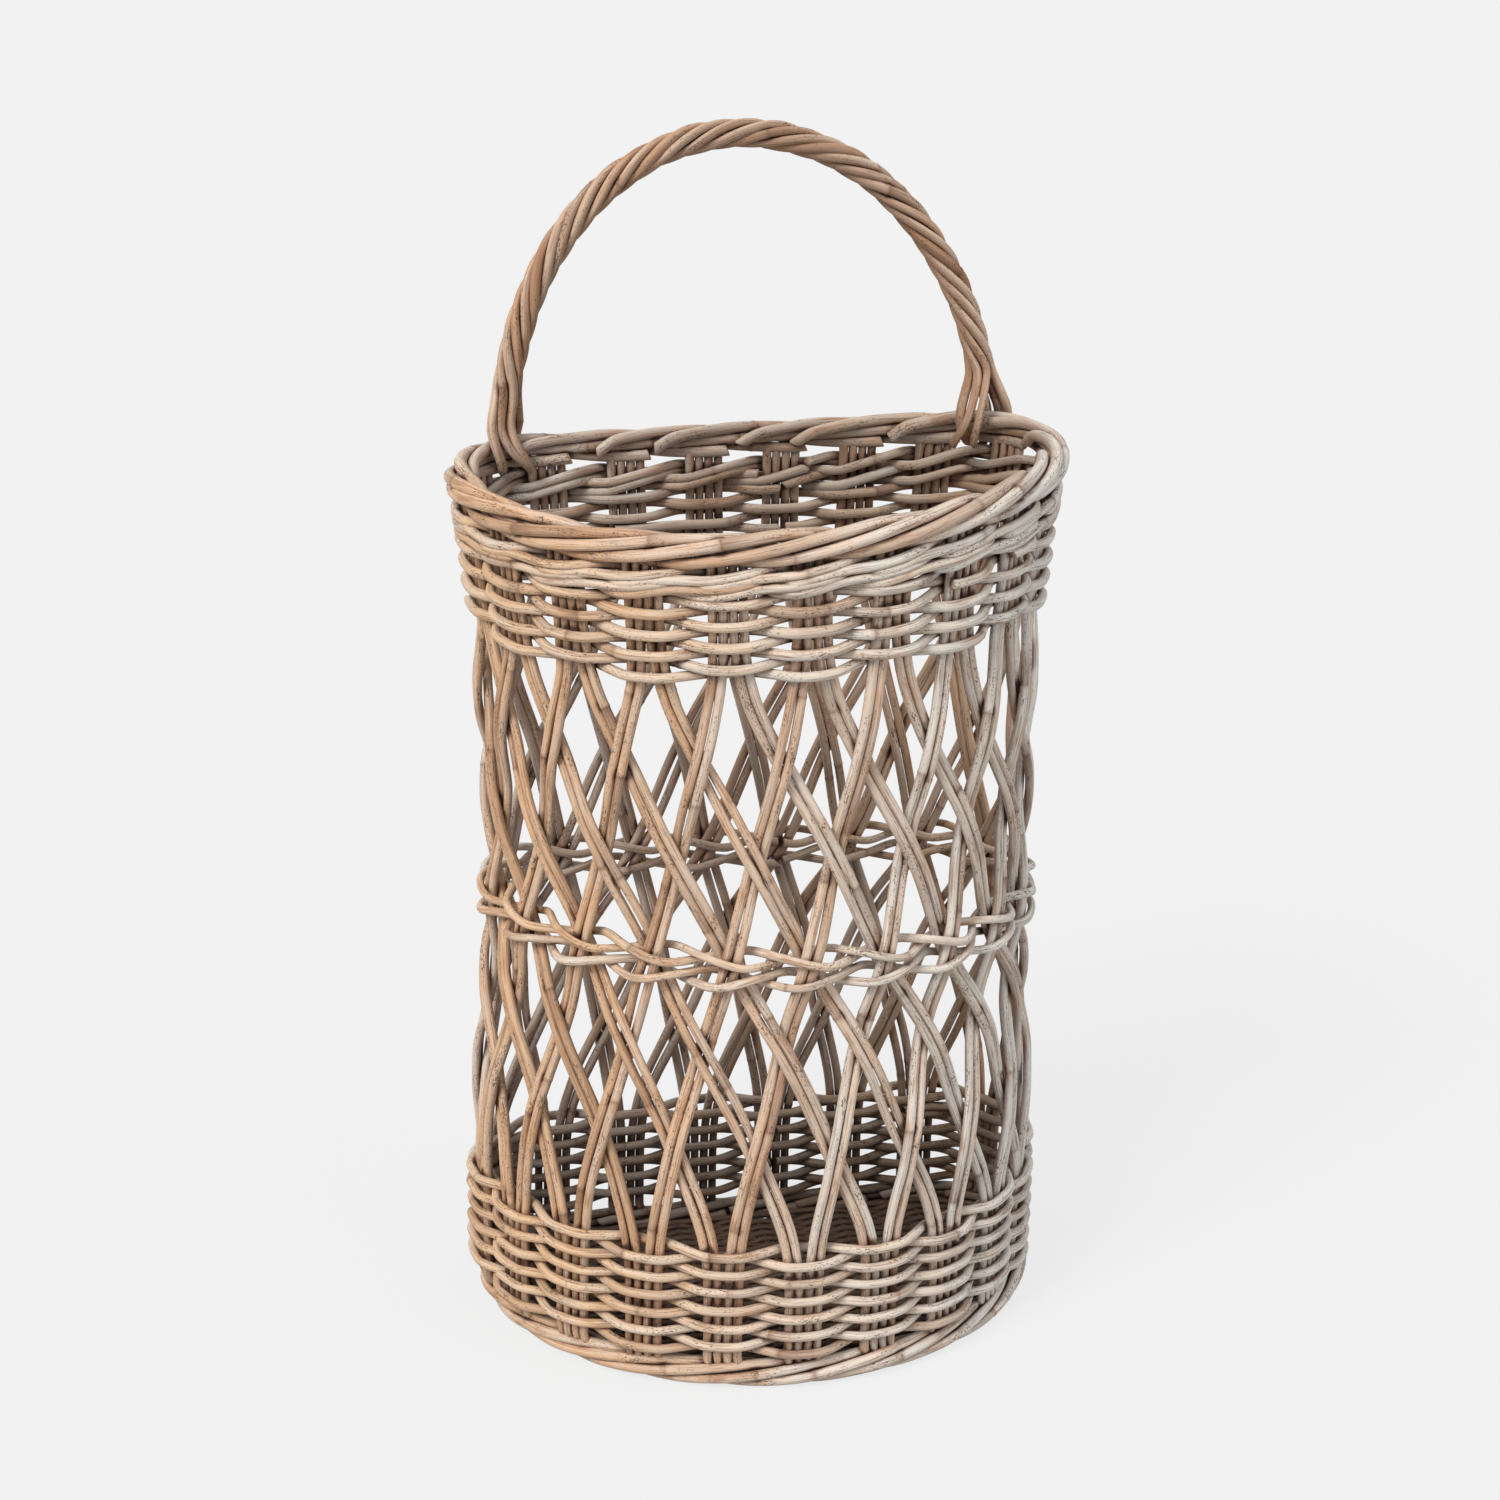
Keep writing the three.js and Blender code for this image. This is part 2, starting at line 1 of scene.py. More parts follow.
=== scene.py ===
# Half-round hanging basket of grey-washed rattan cane: a diamond lattice between woven
# bands, rolled rim and foot borders, and a roped arch handle at the flat back.
import math

import bpy
import numpy as np
from mathutils import Matrix, Vector


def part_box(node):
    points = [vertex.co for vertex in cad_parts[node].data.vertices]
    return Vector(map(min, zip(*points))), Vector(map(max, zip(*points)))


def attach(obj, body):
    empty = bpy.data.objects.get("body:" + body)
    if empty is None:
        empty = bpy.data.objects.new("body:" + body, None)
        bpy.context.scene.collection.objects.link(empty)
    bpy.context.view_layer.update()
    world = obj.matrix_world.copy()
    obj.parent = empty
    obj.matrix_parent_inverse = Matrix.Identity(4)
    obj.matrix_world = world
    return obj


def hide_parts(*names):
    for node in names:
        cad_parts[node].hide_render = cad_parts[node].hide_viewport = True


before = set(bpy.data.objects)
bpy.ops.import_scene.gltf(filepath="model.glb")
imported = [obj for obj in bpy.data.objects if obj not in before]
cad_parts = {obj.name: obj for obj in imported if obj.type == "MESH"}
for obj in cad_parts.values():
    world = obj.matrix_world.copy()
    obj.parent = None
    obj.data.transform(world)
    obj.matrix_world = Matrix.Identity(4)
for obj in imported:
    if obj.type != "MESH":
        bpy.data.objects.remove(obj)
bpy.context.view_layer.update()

rng = np.random.default_rng(7)

# Shapes are worked out in millimetres, and become metres when a mesh is made.
MM = 0.001

# The D-shaped outline through the middle of the upright canes, at five levels.
# A shift is how far the middle of a level stands to the right.
FOOT_HALF_WIDTH = 142.5
LOW_HALF_WIDTH = 146.5
WAIST_HALF_WIDTH = 138.5
SHOULDER_HALF_WIDTH = 140
RIM_HALF_WIDTH = 148
FOOT_DEPTH = 172
LOW_DEPTH = 173
WAIST_DEPTH = 165
SHOULDER_DEPTH = 165
RIM_DEPTH = 166
FOOT_SHIFT = 4.5
LOW_SHIFT = 2
WAIST_SHIFT = 2.5
SHOULDER_SHIFT = 0
RIM_SHIFT = -1
CORNER_RADIUS = 42

# Clearances between canes that lie against each other
SEAT_GAP = 0.3
ROW_GAP = 0.35
CROSSING_GAP = 0.8

# Upright canes: stations of two pairs, which part at the low band and lean both ways
STATIONS = 19
FIRST_STATION = 0.55
CANE = 4.6
LATTICE_HEIGHT = 295.6
RIGHT_LEAN_STATIONS = 2
LEFT_LEAN_STATIONS = 4
CROSSING_HEIGHTS = (0.157, 0.352, 0.494, 0.6915, 0.866)
WAIST_CROSSING = 3
CROSSING_CLEARANCE = 1.75
PAIR_GAP = 0.12
LATTICE_EASE = 18
CROSSING_EASE = 5
FREE_RISE = 30

# The canes of a pair part by a drifting share of the most; a share below 0 leaves them touching
PAIR_PARTING = 1.5
PARTED_SHARE = (-0.9, 0.7)

# Base, and the size of the foot border round it
BASE_THICKNESS = 7
BASE_STICK = 3.3
BASE_STICK_SPACING = 15
BASE_WEAVER = 3.6
BASE_ROW_SPACING = 3.35
BASE_EDGE_OVERLAP = 1.0
BASE_BACK_ROW = 1.6
BASE_RING_OVERLAP = 0.7
BASE_RING_SINK = 0.4
FOOT_STRAND = 7
FOOT_LIFT = 0.1

# Woven bands
LOW_ROD = 4.6
LOW_ROW_GAP = 0.4
LOW_ROWS = 12
WAIST_ROD = 4.2
WAIST_ROW_SPACING = 11
TOP_ROD = 5
TOP_ROWS = 8
WEAVER_TURNS = 4
BAND_MARGIN = 1
WOVEN_LEAD = 0.4
WOVEN_GAP = 0.03
WEAVE_EASE = 2.6
WAIST_EASE = 4.5

# A rod sags where it lies outside, by a share of that inside, and is raised to make up for it
ROD_SAG = 0.8
SAG_INSIDE = 0.2
SAG_RAISED = 0.3

# Three rods to a wale row. A rod starts at its own share of a station's spacing. In its round of
# three stations it lies this much above its row before each one, and rises this much past it,
# both as shares of the slant.
WALE_ROWS = 2
WALE_RODS = 3
WALE_ROD = 4.7
WALE_STARTS = (0, 0.3, -0.3)
WALE_SLANT = 3.3
WALE_BEFORE = (-0.8, 1.0, 0.05)
WALE_PAST = (1.6, -0.95, -1.05)
# In rods: how far the first row lies above the weave, and the second below the rim
WALE_ABOVE = 0.9
WALE_BELOW = 0.8
WALE_BACK_DROP = 3.2

# Long weaves are made of rods of this many stations, which overlap at the splices
SPLICED_RODS = (16, 34)
SPLICE_LEAST = 14
SPLICE_OUTSIDE = 0.24
SPLICE_INSIDE = 0.2
SPLICE_END = 4

# Size of the rim border
BARE_STAKE = 3.5
RIM_STRAND = 8.4
RIM_FRONT_DROP = 4

# How the hand-made wall settles: slope of a level to the right, rise of its back,
# drop of its front and how much more it slopes at the front than at the back
LOW_SLOPE = 0.018
WAIST_SLOPE = -0.025
RIM_SLOPE = 0.012
LOW_BACK_RISE = -2.4
LOW_TWIST = -6
WAIST_BACK_RISE = -3.5
TOP_FRONT_DROP = 1.5
TOP_TWIST = 8

# Roped handle
HANDLE_HALF_SPAN = 125
HANDLE_FOOT_LEAN = 4
HANDLE_TOP_LEAN = -3.5
HANDLE_RISE = 156
HANDLE_BOW = 5.4
HANDLE_CANE = 4.8
HANDLE_CANES = 6
HANDLE_ORBIT = 1.06
HANDLE_TURNS = 4.5
HANDLE_LENGTH = 480
HANDLE_SPLAY = 15.5
TAIL_GAP = 0.5
TAIL_SPREAD = 1.3

# A tail of the roping goes down beside the rim border. From the top down: its distance from the
# middle of the border, as a share of the distance beside it, and its height above the middle.
INNER_TAIL = ((0.55, 14), (0.85, 9), (1, 4), (1, 0), (0.95, -3.5), (0.7, -6))
OUTER_TAIL = ((0.6, 12), (0.95, 7), (1, 2), (1, -4), (0.8, -9), (0.3, -11.5))
# How far each tail stands to the right, and how far the inner ones drift right on their way down
LEFT_TAILS = {"inner": -6, "outer": 6, "drifts": (14, 5, 9)}
RIGHT_TAILS = {"inner": -7, "outer": 1, "drifts": (-9, -3, 5)}
DRIFTED = (0, 0.05, 0.2, 0.5, 0.85, 1)

# Fineness of the round canes: points round a ring, and where a growth node and an end have rings
SIDES = 12
RING_STEP = 2.6
NODE_RINGS = (-1.7, -0.9, -0.3, 0.3, 0.9, 1.7)
NODE_REACH = 2.4
END_RING = 0.35
END_REACH = 1
OUTLINE_SAMPLES = 80

# Growth of a cane. As shares of its radius: how it differs from other canes, drifts, swells at a
# growth node and narrows past it, what is left of it at a cut end, and how oval it is. The lengths
# of the drift, of the swelling and of the narrow place are in millimetres.
RADIUS_SPREAD = (-0.06, 0.05)
RADIUS_DRIFT = 0.025
DRIFT_LENGTH = 130
NODE_SWELL = 0.07
NODE_WIDTH = 1.0
NARROWING = 0.03
NARROW_PAST = 2.0
NARROW_WIDTH = 0.7
END_NARROWED = 0.9
OVALNESS = (0.01, 0.05)

# The old leaf sheath past a growth node: how much of it is left, and the length it fades over
SHEATH_LEFT = (0.2, 1.0)
SHEATH_LENGTH = (6, 22)

UP = np.array([0.0, 0.0, 1.0])
RIGHT = np.array([1.0, 0.0, 0.0])
FORWARD = np.array([0.0, -1.0, 0.0])


def rope_radius(strand):
    """Radius to the outside of a rope of three round strands that touch each other."""
    return (strand + SEAT_GAP) / 2 / math.sin(math.pi / 3) + strand / 2


# Heights, stacked up from the foot
foot_radius = rope_radius(FOOT_STRAND)
rim_radius = rope_radius(RIM_STRAND)
low_pitch = LOW_ROD + LOW_ROW_GAP
top_pitch = TOP_ROD + ROW_GAP
foot_z = FOOT_LIFT + foot_radius
stake_foot_z = foot_z + foot_radius + SEAT_GAP
low_start_z = stake_foot_z + LOW_ROD / 2
lattice_foot_z = low_start_z + LOW_ROWS * low_pitch + LOW_ROD / 2 + BAND_MARGIN
lattice_top_z = lattice_foot_z + LATTICE_HEIGHT
top_start_z = lattice_top_z + BAND_MARGIN + TOP_ROD / 2
top_end_z = top_start_z + (TOP_ROWS + WALE_ROWS) * top_pitch + TOP_ROD / 2
stake_top_z = top_end_z + BARE_STAKE
rim_z = stake_top_z + SEAT_GAP + rim_radius
waist_z = lattice_foot_z + LATTICE_HEIGHT * CROSSING_HEIGHTS[WAIST_CROSSING - 1]
back_y = RIM_DEPTH / 2


def unit(vectors):
    return vectors / np.maximum(np.linalg.norm(vectors, axis=-1, keepdims=True), 1e-9)


def smooth(values, sigma):
    """Values blurred along their first axis, with the trend at both ends kept."""
    reach = min(int(math.ceil(3 * sigma)), len(values) - 1)
    offsets = np.arange(-reach, reach + 1)
    weights = np.exp(-0.5 * (offsets / sigma) ** 2)
    weights /= weights.sum()
    edges = [(reach, reach)] + [(0, 0)] * (values.ndim - 1)
    padded = np.pad(values, edges, mode="reflect", reflect_type="odd")
    return sum(w * padded[i:i + len(values)] for i, w in enumerate(weights))


def wander(along, wavelength, amount):
    """A smooth random drift along a cane."""
    total = np.zeros_like(along, dtype=float)
    for share in (0.7, 1.0, 1.6):
        total += np.sin(2 * math.pi * along / (wavelength * share) + rng.uniform(0, 2 * math.pi))
    return total * amount / 2


def outline(half_width, depth, shift):
    """Samples of the D-shaped outline, from the middle of the back clockwise seen from above."""
    straight = half_width - CORNER_RADIUS
    corner_y = back_y - CORNER_RADIUS
    bend = np.linspace(0, math.pi / 2, OUTLINE_SAMPLES)
    front = np.linspace(0, math.pi, 4 * OUTLINE_SAMPLES)
    x = np.concatenate([
        [0], straight + CORNER_RADIUS * np.sin(bend), half_width * np.cos(front),
        -straight - CORNER_RADIUS * np.cos(bend), [0],
    ])
    y = np.concatenate([
        [back_y], corner_y + CORNER_RADIUS * np.cos(bend),
        corner_y - (depth - CORNER_RADIUS) * np.sin(front),
        corner_y + CORNER_RADIUS * np.sin(bend), [back_y],
    ])
    lengths = np.concatenate([[0], np.cumsum(np.hypot(np.diff(x), np.diff(y)))])
    return {"share": lengths / lengths[-1], "x": x + shift, "y": y, "length": lengths[-1]}


foot_outline = outline(FOOT_HALF_WIDTH, FOOT_DEPTH, FOOT_SHIFT)
low_outline = outline(LOW_HALF_WIDTH, LOW_DEPTH, LOW_SHIFT)
waist_outline = outline(WAIST_HALF_WIDTH, WAIST_DEPTH, WAIST_SHIFT)
shoulder_outline = outline(SHOULDER_HALF_WIDTH, SHOULDER_DEPTH, SHOULDER_SHIFT)
rim_outline = outline(RIM_HALF_WIDTH, RIM_DEPTH, RIM_SHIFT)

# Height, outline, and whether the wall bends gently on its way up to the level
levels = (
    (foot_z, foot_outline, False),
    (stake_foot_z, low_outline, False),
    (lattice_foot_z, low_outline, False),
    (waist_z, waist_outline, True),
    (lattice_top_z, shoulder_outline, True),
    (rim_z, rim_outline, False),
)
foot_length = foot_outline["length"]
pitch = waist_outline["length"] / STATIONS
rim_length = rim_outline["length"]


def outline_at(samples, turn):
    lap = np.mod(turn, 1)
    x = np.interp(lap, samples["share"], samples["x"])
    y = np.interp(lap, samples["share"], samples["y"])
    return np.stack([x, y, np.zeros_like(x)], -1)


def front_share(y):
    """0 at the back, rising to 1 at the front."""
    return ((back_y - y) / RIM_DEPTH) ** 2


def rise(z, low, high):
    """How much of a change between two heights has happened, from 0 to 1."""
    return np.clip((z - low) / (high - low), 0, 1)


def settled_z(z, x, y):
    """Hand weaving settles: levels slope a little, and their back and front rise or sink."""
    to_low = rise(z, stake_foot_z, lattice_foot_z)
    to_waist = rise(z, lattice_foot_z, waist_z)
    to_top = rise(z, waist_z, lattice_top_z)
    forward = (back_y - y) / RIM_DEPTH
    at_low, at_waist = to_low - to_waist, to_waist - to_top
    slope = LOW_SLOPE * at_low + WAIST_SLOPE * at_waist + RIM_SLOPE * to_top
    back_rise = LOW_BACK_RISE * at_low + WAIST_BACK_RISE * at_waist
    top = TOP_TWIST * (x / RIM_HALF_WIDTH) * forward - TOP_FRONT_DROP * forward ** 2
    twist = LOW_TWIST * (x / RIM_HALF_WIDTH) * forward * at_low
    return z + slope * x + back_rise * (1 - forward) ** 2 + twist + top * to_top


def level_shares(z):
    """How much of each level's outline shows at a height."""
    risen = [np.ones_like(z)]
    for (low, _, _), (high, _, bent) in zip(levels, levels[1:]):
        share = rise(z, low, high)
        risen.append(share * share * (3 - 2 * share) if bent else share)
    risen.append(np.zeros_like(z))
    return [here - above for here, above in zip(risen, risen[1:])]


def wall(turn, z):
    """Places on the middle of the upright canes, with the directions along and out of the wall."""
    turn, z = np.broadcast_arrays(np.asarray(turn, float), np.asarray(z, float))
    nudge = 0.002
    at = np.zeros(turn.shape + (3,))
    along = np.zeros(turn.shape + (3,))
    for share, (_, samples, _) in zip(level_shares(z), levels):
        ahead = outline_at(samples, turn + nudge) - outline_at(samples, turn - nudge)
        at += share[..., None] * outline_at(samples, turn)
        along += share[..., None] * unit(ahead)
    along = unit(along)
    outward = np.stack([-along[..., 1], along[..., 0], np.zeros(turn.shape)], -1)
    at[..., 2] = settled_z(z, at[..., 0], at[..., 1])
    return at, along, outward


def on_wall(turn, z, out):
    at, _, outward = wall(turn, z)
    return at + outward * np.asarray(out)[..., None]


def station_turn(station, shift=0.0):
    return (station + FIRST_STATION + shift / pitch) / STATIONS


# The CAD model stands with the middle of its box over the origin.
base_low, base_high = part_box("base_panel")
below = foot_z - BASE_THICKNESS
base_inset = math.sqrt(foot_radius ** 2 - below ** 2) + SEAT_GAP
origin_shift = np.array([
    (base_low.x + base_high.x) / 2 - FOOT_SHIFT * MM,
    base_high.y - (back_y - base_inset) * MM,
    0,
])


def along_path(path):
    """Distance from the start at each point of a path."""
    steps = np.linalg.norm(np.diff(path, axis=0), axis=1)
    return np.concatenate([[0], np.cumsum(steps)])


def resampled(path, places):
    lengths = along_path(path)
    return np.stack([np.interp(places, lengths, path[:, i]) for i in range(3)], -1)


def carried_normals(tangents):
    """Directions square to the cane that turn with it without twisting."""
    first = UP if abs(tangents[0][2]) < 0.8 else FORWARD
    normals = np.empty_like(tangents)
    normal = first
    for i, tangent in enumerate(tangents):
        normal = normal - tangent * normal.dot(tangent)
        normal = normal / np.linalg.norm(normal)
        normals[i] = normal
    return normals


def growth_nodes(total, spacing):
    """Where a cane has its growth nodes."""
    nodes = []
    place = rng.uniform(0.1, 1.0) * spacing[0]
    while place < total - 4:
        nodes.append(place)
        place += rng.uniform(*spacing)
    return nodes


def ring_places(total, nodes):
    """Where a cane has rings of points: evenly, closer at a node and just in from its ends."""
    places = np.linspace(0, total, max(int(total / RING_STEP), 3))
    for node in nodes:
        places = places[np.abs(places - node) > NODE_REACH]
        places = np.concatenate([places, node + np.array(NODE_RINGS)])
    places = places[(places > END_REACH) & (places < total - END_REACH)]
    return np.sort(np.concatenate([places, [0, END_RING, total - END_RING, total]]))


def growth(places, nodes, diameter):
    """The radius along a cane, and how much of a growth ring and of a leaf sheath shows there."""
    spread = rng.uniform(*RADIUS_SPREAD)
    radius = diameter / 2 * (1 + spread + wander(places, DRIFT_LENGTH, RADIUS_DRIFT))
    ring = np.zeros_like(places)
    sheath = np.zeros_like(places)
    way = rng.choice((-1, 1))
    for node in nodes:
        past = (places - node) * way
        swell = np.exp(-((places - node) / NODE_WIDTH) ** 2)
        narrow = np.exp(-((past - NARROW_PAST) / NARROW_WIDTH) ** 2)
        radius *= 1 + NODE_SWELL * swell - NARROWING * narrow
        ring = np.maximum(ring, swell)
        fade = rng.uniform(*SHEATH_LEFT) * np.exp(-past / rng.uniform(*SHEATH_LENGTH))
        sheath = np.maximum(sheath, np.where(past > 0, fade, 0))
    radius[[0, -1]] *= END_NARROWED
    return radius, ring, sheath


def tube_faces(count):
    """Faces of a closed tube of rings, whose two end points come after the rings."""
    rings = np.arange(count * SIDES).reshape(count, SIDES)
    following = np.roll(rings, -1, axis=1)
    sides = np.stack([rings[:-1], following[:-1], following[1:], rings[1:]], -1).reshape(-1, 4)
    first, last = count * SIDES, count * SIDES + 1
    fans = []
    for j in range(0, SIDES, 2):
        around = (j, j + 1, (j + 2) % SIDES)
        fans.append([first, *rings[0][list(around[::-1])]])
        fans.append([last, *rings[-1][list(around)]])
    return np.concatenate([sides, np.array(fans)])


def cane(path, diameter, slant=(0.25, 0.25), node_spacing=(90, 240)):
    """A round cane along a path, with growth nodes, a drifting thickness and cut ends."""
    total = along_path(path)[-1]
    nodes = growth_nodes(total, node_spacing)
    places = ring_places(total, nodes)
    points = resampled(path, places)
    tangents = unit(np.gradient(points, places, axis=0))
    normals = carried_normals(tangents)
    across = np.cross(tangents, normals)
    radius, ring, sheath = growth(places, nodes, diameter)

    count = len(places)
    angle = np.linspace(0, 2 * math.pi, SIDES, endpoint=False)
    lean = rng.uniform(0, 2 * math.pi)
    oval = 1 + rng.uniform(*OVALNESS) * np.cos(2 * (angle - lean))
    reach = radius[:, None] * oval
    side_n = reach * np.cos(angle)
    side_a = reach * np.sin(angle)
    vertices = (
        points[:, None] + side_n[..., None] * normals[:, None] + side_a[..., None] * across[:, None]
    )
    tilt = np.zeros(count)
    tilt[:2] = slant[0]
    tilt[-2:] = slant[1]
    vertices += (tilt[:, None] * side_n)[..., None] * tangents[:, None]
    normal = unit(vertices - points[:, None])

    # Each cane takes its grain from a place of its own
    start = rng.uniform(0, 1000)
    along = np.broadcast_to(places[:, None] + start, side_n.shape)
    straight = np.stack([along, side_n, side_a], -1)
    cut = np.zeros(count * SIDES + 2)
    cut[:SIDES] = 1
    cut[(count - 1) * SIDES:] = 1
    tone = rng.uniform(0, 1)
    drift = np.repeat(tone + wander(places, 260, 0.12), SIDES)
    return {
        "vertices": np.concatenate([vertices.reshape(-1, 3), points[[0, -1]]]),
        "normals": np.concatenate([normal.reshape(-1, 3), -tangents[:1], tangents[-1:]]),
        "tangents": np.concatenate([np.repeat(tangents, SIDES, 0), normals[:1], normals[-1:]]),
        "faces": tube_faces(count),
        "straight": np.concatenate([straight.reshape(-1, 3), np.zeros((2, 3))]),
        "tone": np.concatenate([drift, [tone, tone]]),
        "ring": np.concatenate([np.repeat(ring, SIDES), [0, 0]]),
        "sheath": np.concatenate([np.repeat(sheath, SIDES), [0, 0]]),
        "weight": np.full(count * SIDES + 2, diameter / CANE),
        "cut": cut,
    }


# Upright pairs of canes
pair_shift = CANE + SEAT_GAP / 2
station_half = 2 * pair_shift
crossing_offset = (CANE + CROSSING_GAP) / 2
relative_shift = (RIGHT_LEAN_STATIONS + LEFT_LEAN_STATIONS) * pitch - 2 * station_half
lattice_levels = [lattice_foot_z + h * LATTICE_HEIGHT for h in (0, *CROSSING_HEIGHTS, 1)]
crossing_rows = range(1, len(CROSSING_HEIGHTS) + 1)
lattice_shares = [0, *((row * pitch - station_half) / relative_shift for row in crossing_rows), 1]


def crossing_reach(row, step):
    """Height above or below a crossing at which the two pairs have cleared each other."""
    climb = abs(lattice_levels[row + step] - lattice_levels[row])
    run = abs(lattice_shares[row + step] - lattice_shares[row]) * relative_shift
    return CROSSING_CLEARANCE * CANE * climb / run


def upright_pair(station, lean):
    """Two canes side by side that lean left (1) or right (-1), over and under the others."""
    stations = LEFT_LEAN_STATIONS if lean > 0 else RIGHT_LEAN_STATIONS
    travel = lean * (stations * pitch - station_half)
    z = np.arange(stake_foot_z - 3, stake_top_z + 4, 1.0)
    share = smooth(np.interp(z, lattice_levels, lattice_shares), LATTICE_EASE)
    stops, outs = [lattice_foot_z], [0]
    for row in crossing_rows:
        outside = -lean if row % 2 == 1 else lean
        for step in (-1, 1):
            stops.append(lattice_levels[row] + step * crossing_reach(row, step))
            outs.append(outside * crossing_offset)
    stops.append(lattice_top_z)
    outs.append(0)
    out = smooth(np.interp(z, stops, outs), CROSSING_EASE)
    above_foot = np.clip((z - lattice_foot_z) / FREE_RISE, 0, 1)
    below_top = np.clip((lattice_top_z - z) / FREE_RISE, 0, 1)
    free = above_foot * below_top
    shift = lean * pair_shift + share * travel + free * wander(z, 150, 0.6)
    slope = np.gradient(shift, z)
    steepness = 1 / np.sqrt(1 + slope ** 2)
    parted = np.clip(rng.uniform(*PARTED_SHARE) + wander(z, 120, 0.6), 0, 1)
    parting = free * parted * PAIR_PARTING
    canes = []
    for side in (-1, 1):
        offset = side * (CANE + PAIR_GAP + parting) / 2
        turn = station_turn(station, shift + offset * steepness)
        height = z - offset * slope * steepness
        path = on_wall(turn, height, out + free * wander(z, 90, 0.25))
        path[:, 2] -= (
            RIM_FRONT_DROP * rise(z, lattice_top_z, stake_top_z) * front_share(path[:, 1])
        )
        canes.append(cane(path, CANE * rng.uniform(0.97, 1.03)))
    return canes


# Woven rods
def woven_path(start, end, stand_off, half_span, side, height, ease):
    """A rod in and out of the stations; start and end count stations and their fractions."""
    first, last = math.floor(start) - 1, math.ceil(end) + 1
    stops, outs, heights = [], [], []
    for step in range(first, last + 1):
        for edge in (-1, 1):
            stops.append(step + edge * half_span / pitch)
            outs.append(side(step) * stand_off)
            heights.append(height(step, edge))
    fine = 1 / pitch
    place = np.arange(start - WOVEN_LEAD, end + WOVEN_LEAD, fine)
    out = smooth(np.interp(place, stops, outs), ease)
    z = smooth(np.interp(place, stops, heights), ease)
    outside = np.clip(out / stand_off, SAG_INSIDE, 1)
    sag = np.cos(math.pi * (place - np.round(place))) ** 2 * outside
    z = z - ROD_SAG * (sag - SAG_RAISED) + wander(place * pitch, 70, 0.3)
    kept = (place >= start) & (place <= end)
    return on_wall(station_turn(place[kept]), z[kept], out[kept])


def spliced(start, end, side):
    """Stretches of a long weave: a rod ends outside a station where the next starts inside."""
    stretches = []
    here = start
    while end - here > SPLICE_LEAST:
        stop = round(here + rng.uniform(*SPLICED_RODS))
        if stop > end - SPLICE_END:
            break
        if side(stop) < 0:
            stop += 1
        stretches.append((here, stop + SPLICE_OUTSIDE))
        here = stop - SPLICE_INSIDE
    stretches.append((here, end))
    return stretches


def weave(start, end, stand_off, half_span, rod, side, height, ease=WEAVE_EASE):
    """The rods of a long weave, where a rod that takes over from another starts inside."""
    canes = []
    for i, (here, there) in enumerate(spliced(start, end, side)):
        first = math.ceil(here)

        def tucked(step, first=first, takes_over=i > 0):
            return -1 if takes_over and step <= first else side(step)

        path = woven_path(here, there, stand_off, half_span, tucked, height, ease)
        slant = (rng.uniform(-0.9, 0.9), rng.uniform(-0.9, 0.9))
        canes.append(cane(path, rod * rng.uniform(1.0, 1.06), slant, node_spacing=(120, 330)))
    return canes


def band_weaver(index, start_z, row_pitch, rod):
    """Plain weave: one rod spirals up, outside every other station."""
    steps = WEAVER_TURNS * STATIONS
    return weave(
        index * steps + WOVEN_GAP, (index + 1) * steps - WOVEN_GAP,
        CANE / 2 + SEAT_GAP + rod / 2, station_half + BAND_MARGIN, rod,
        lambda step: -1 if step % 2 == 0 else 1,
        lambda step, edge: start_z + row_pitch * (step + edge * station_half / pitch) / STATIONS,
    )


def wale_rods(row):
    """Three rods that take turns: each lies over two stations, sinks below the next rod as it
    comes past, and goes under one."""
    canes = []
    woven_z = top_start_z + TOP_ROWS * top_pitch
    for first in range(WALE_RODS):

        def side(step, first=first):
            return -1 if (step - first) % WALE_RODS == 0 else 1

        def height(step, edge, first=first):
            turn = (step + edge * station_half / pitch) / STATIONS
            forward = math.sin(math.pi * turn) ** 2
            low = woven_z - top_pitch * (1 - turn) + TOP_ROD / 2
            high = rim_z - rim_radius - RIM_FRONT_DROP * forward ** 2
            if row == 0:
                middle = low + WALE_ROD * WALE_ABOVE
            else:
                middle = high - WALE_ROD * WALE_BELOW - WALE_BACK_DROP * (1 - forward)
            past = (step - first) % WALE_RODS
            sunk = WALE_BEFORE[past] + (edge + 1) / 2 * WALE_PAST[past]
            return middle + WALE_SLANT * sunk

        start = WALE_STARTS[(first + row) % WALE_RODS]
        canes += weave(
            start, start + STATIONS, CANE / 2 + SEAT_GAP + WALE_ROD / 2,
            station_half + BAND_MARGIN, WALE_ROD, side, height,
        )
    return canes


def waist_rod(row, first):
    """One of two rods that twist round each crossing; the two rows twist opposite ways."""
    sink = (WAIST_ROD + CROSSING_GAP) / 2
    twist = -1 if row == 0 else 1
    level = waist_z + twist * WAIST_ROW_SPACING / 2

    def side(step):
        return 1 if (step + first) % 2 == 0 else -1

    return weave(
        WOVEN_GAP, STATIONS - WOVEN_GAP, crossing_offset + CANE / 2 + SEAT_GAP + WAIST_ROD / 2,
        station_half - BAND_MARGIN / 2, WAIST_ROD, side,
        lambda step, edge: level + twist * side(step) * edge * sink, ease=WAIST_EASE,
    )


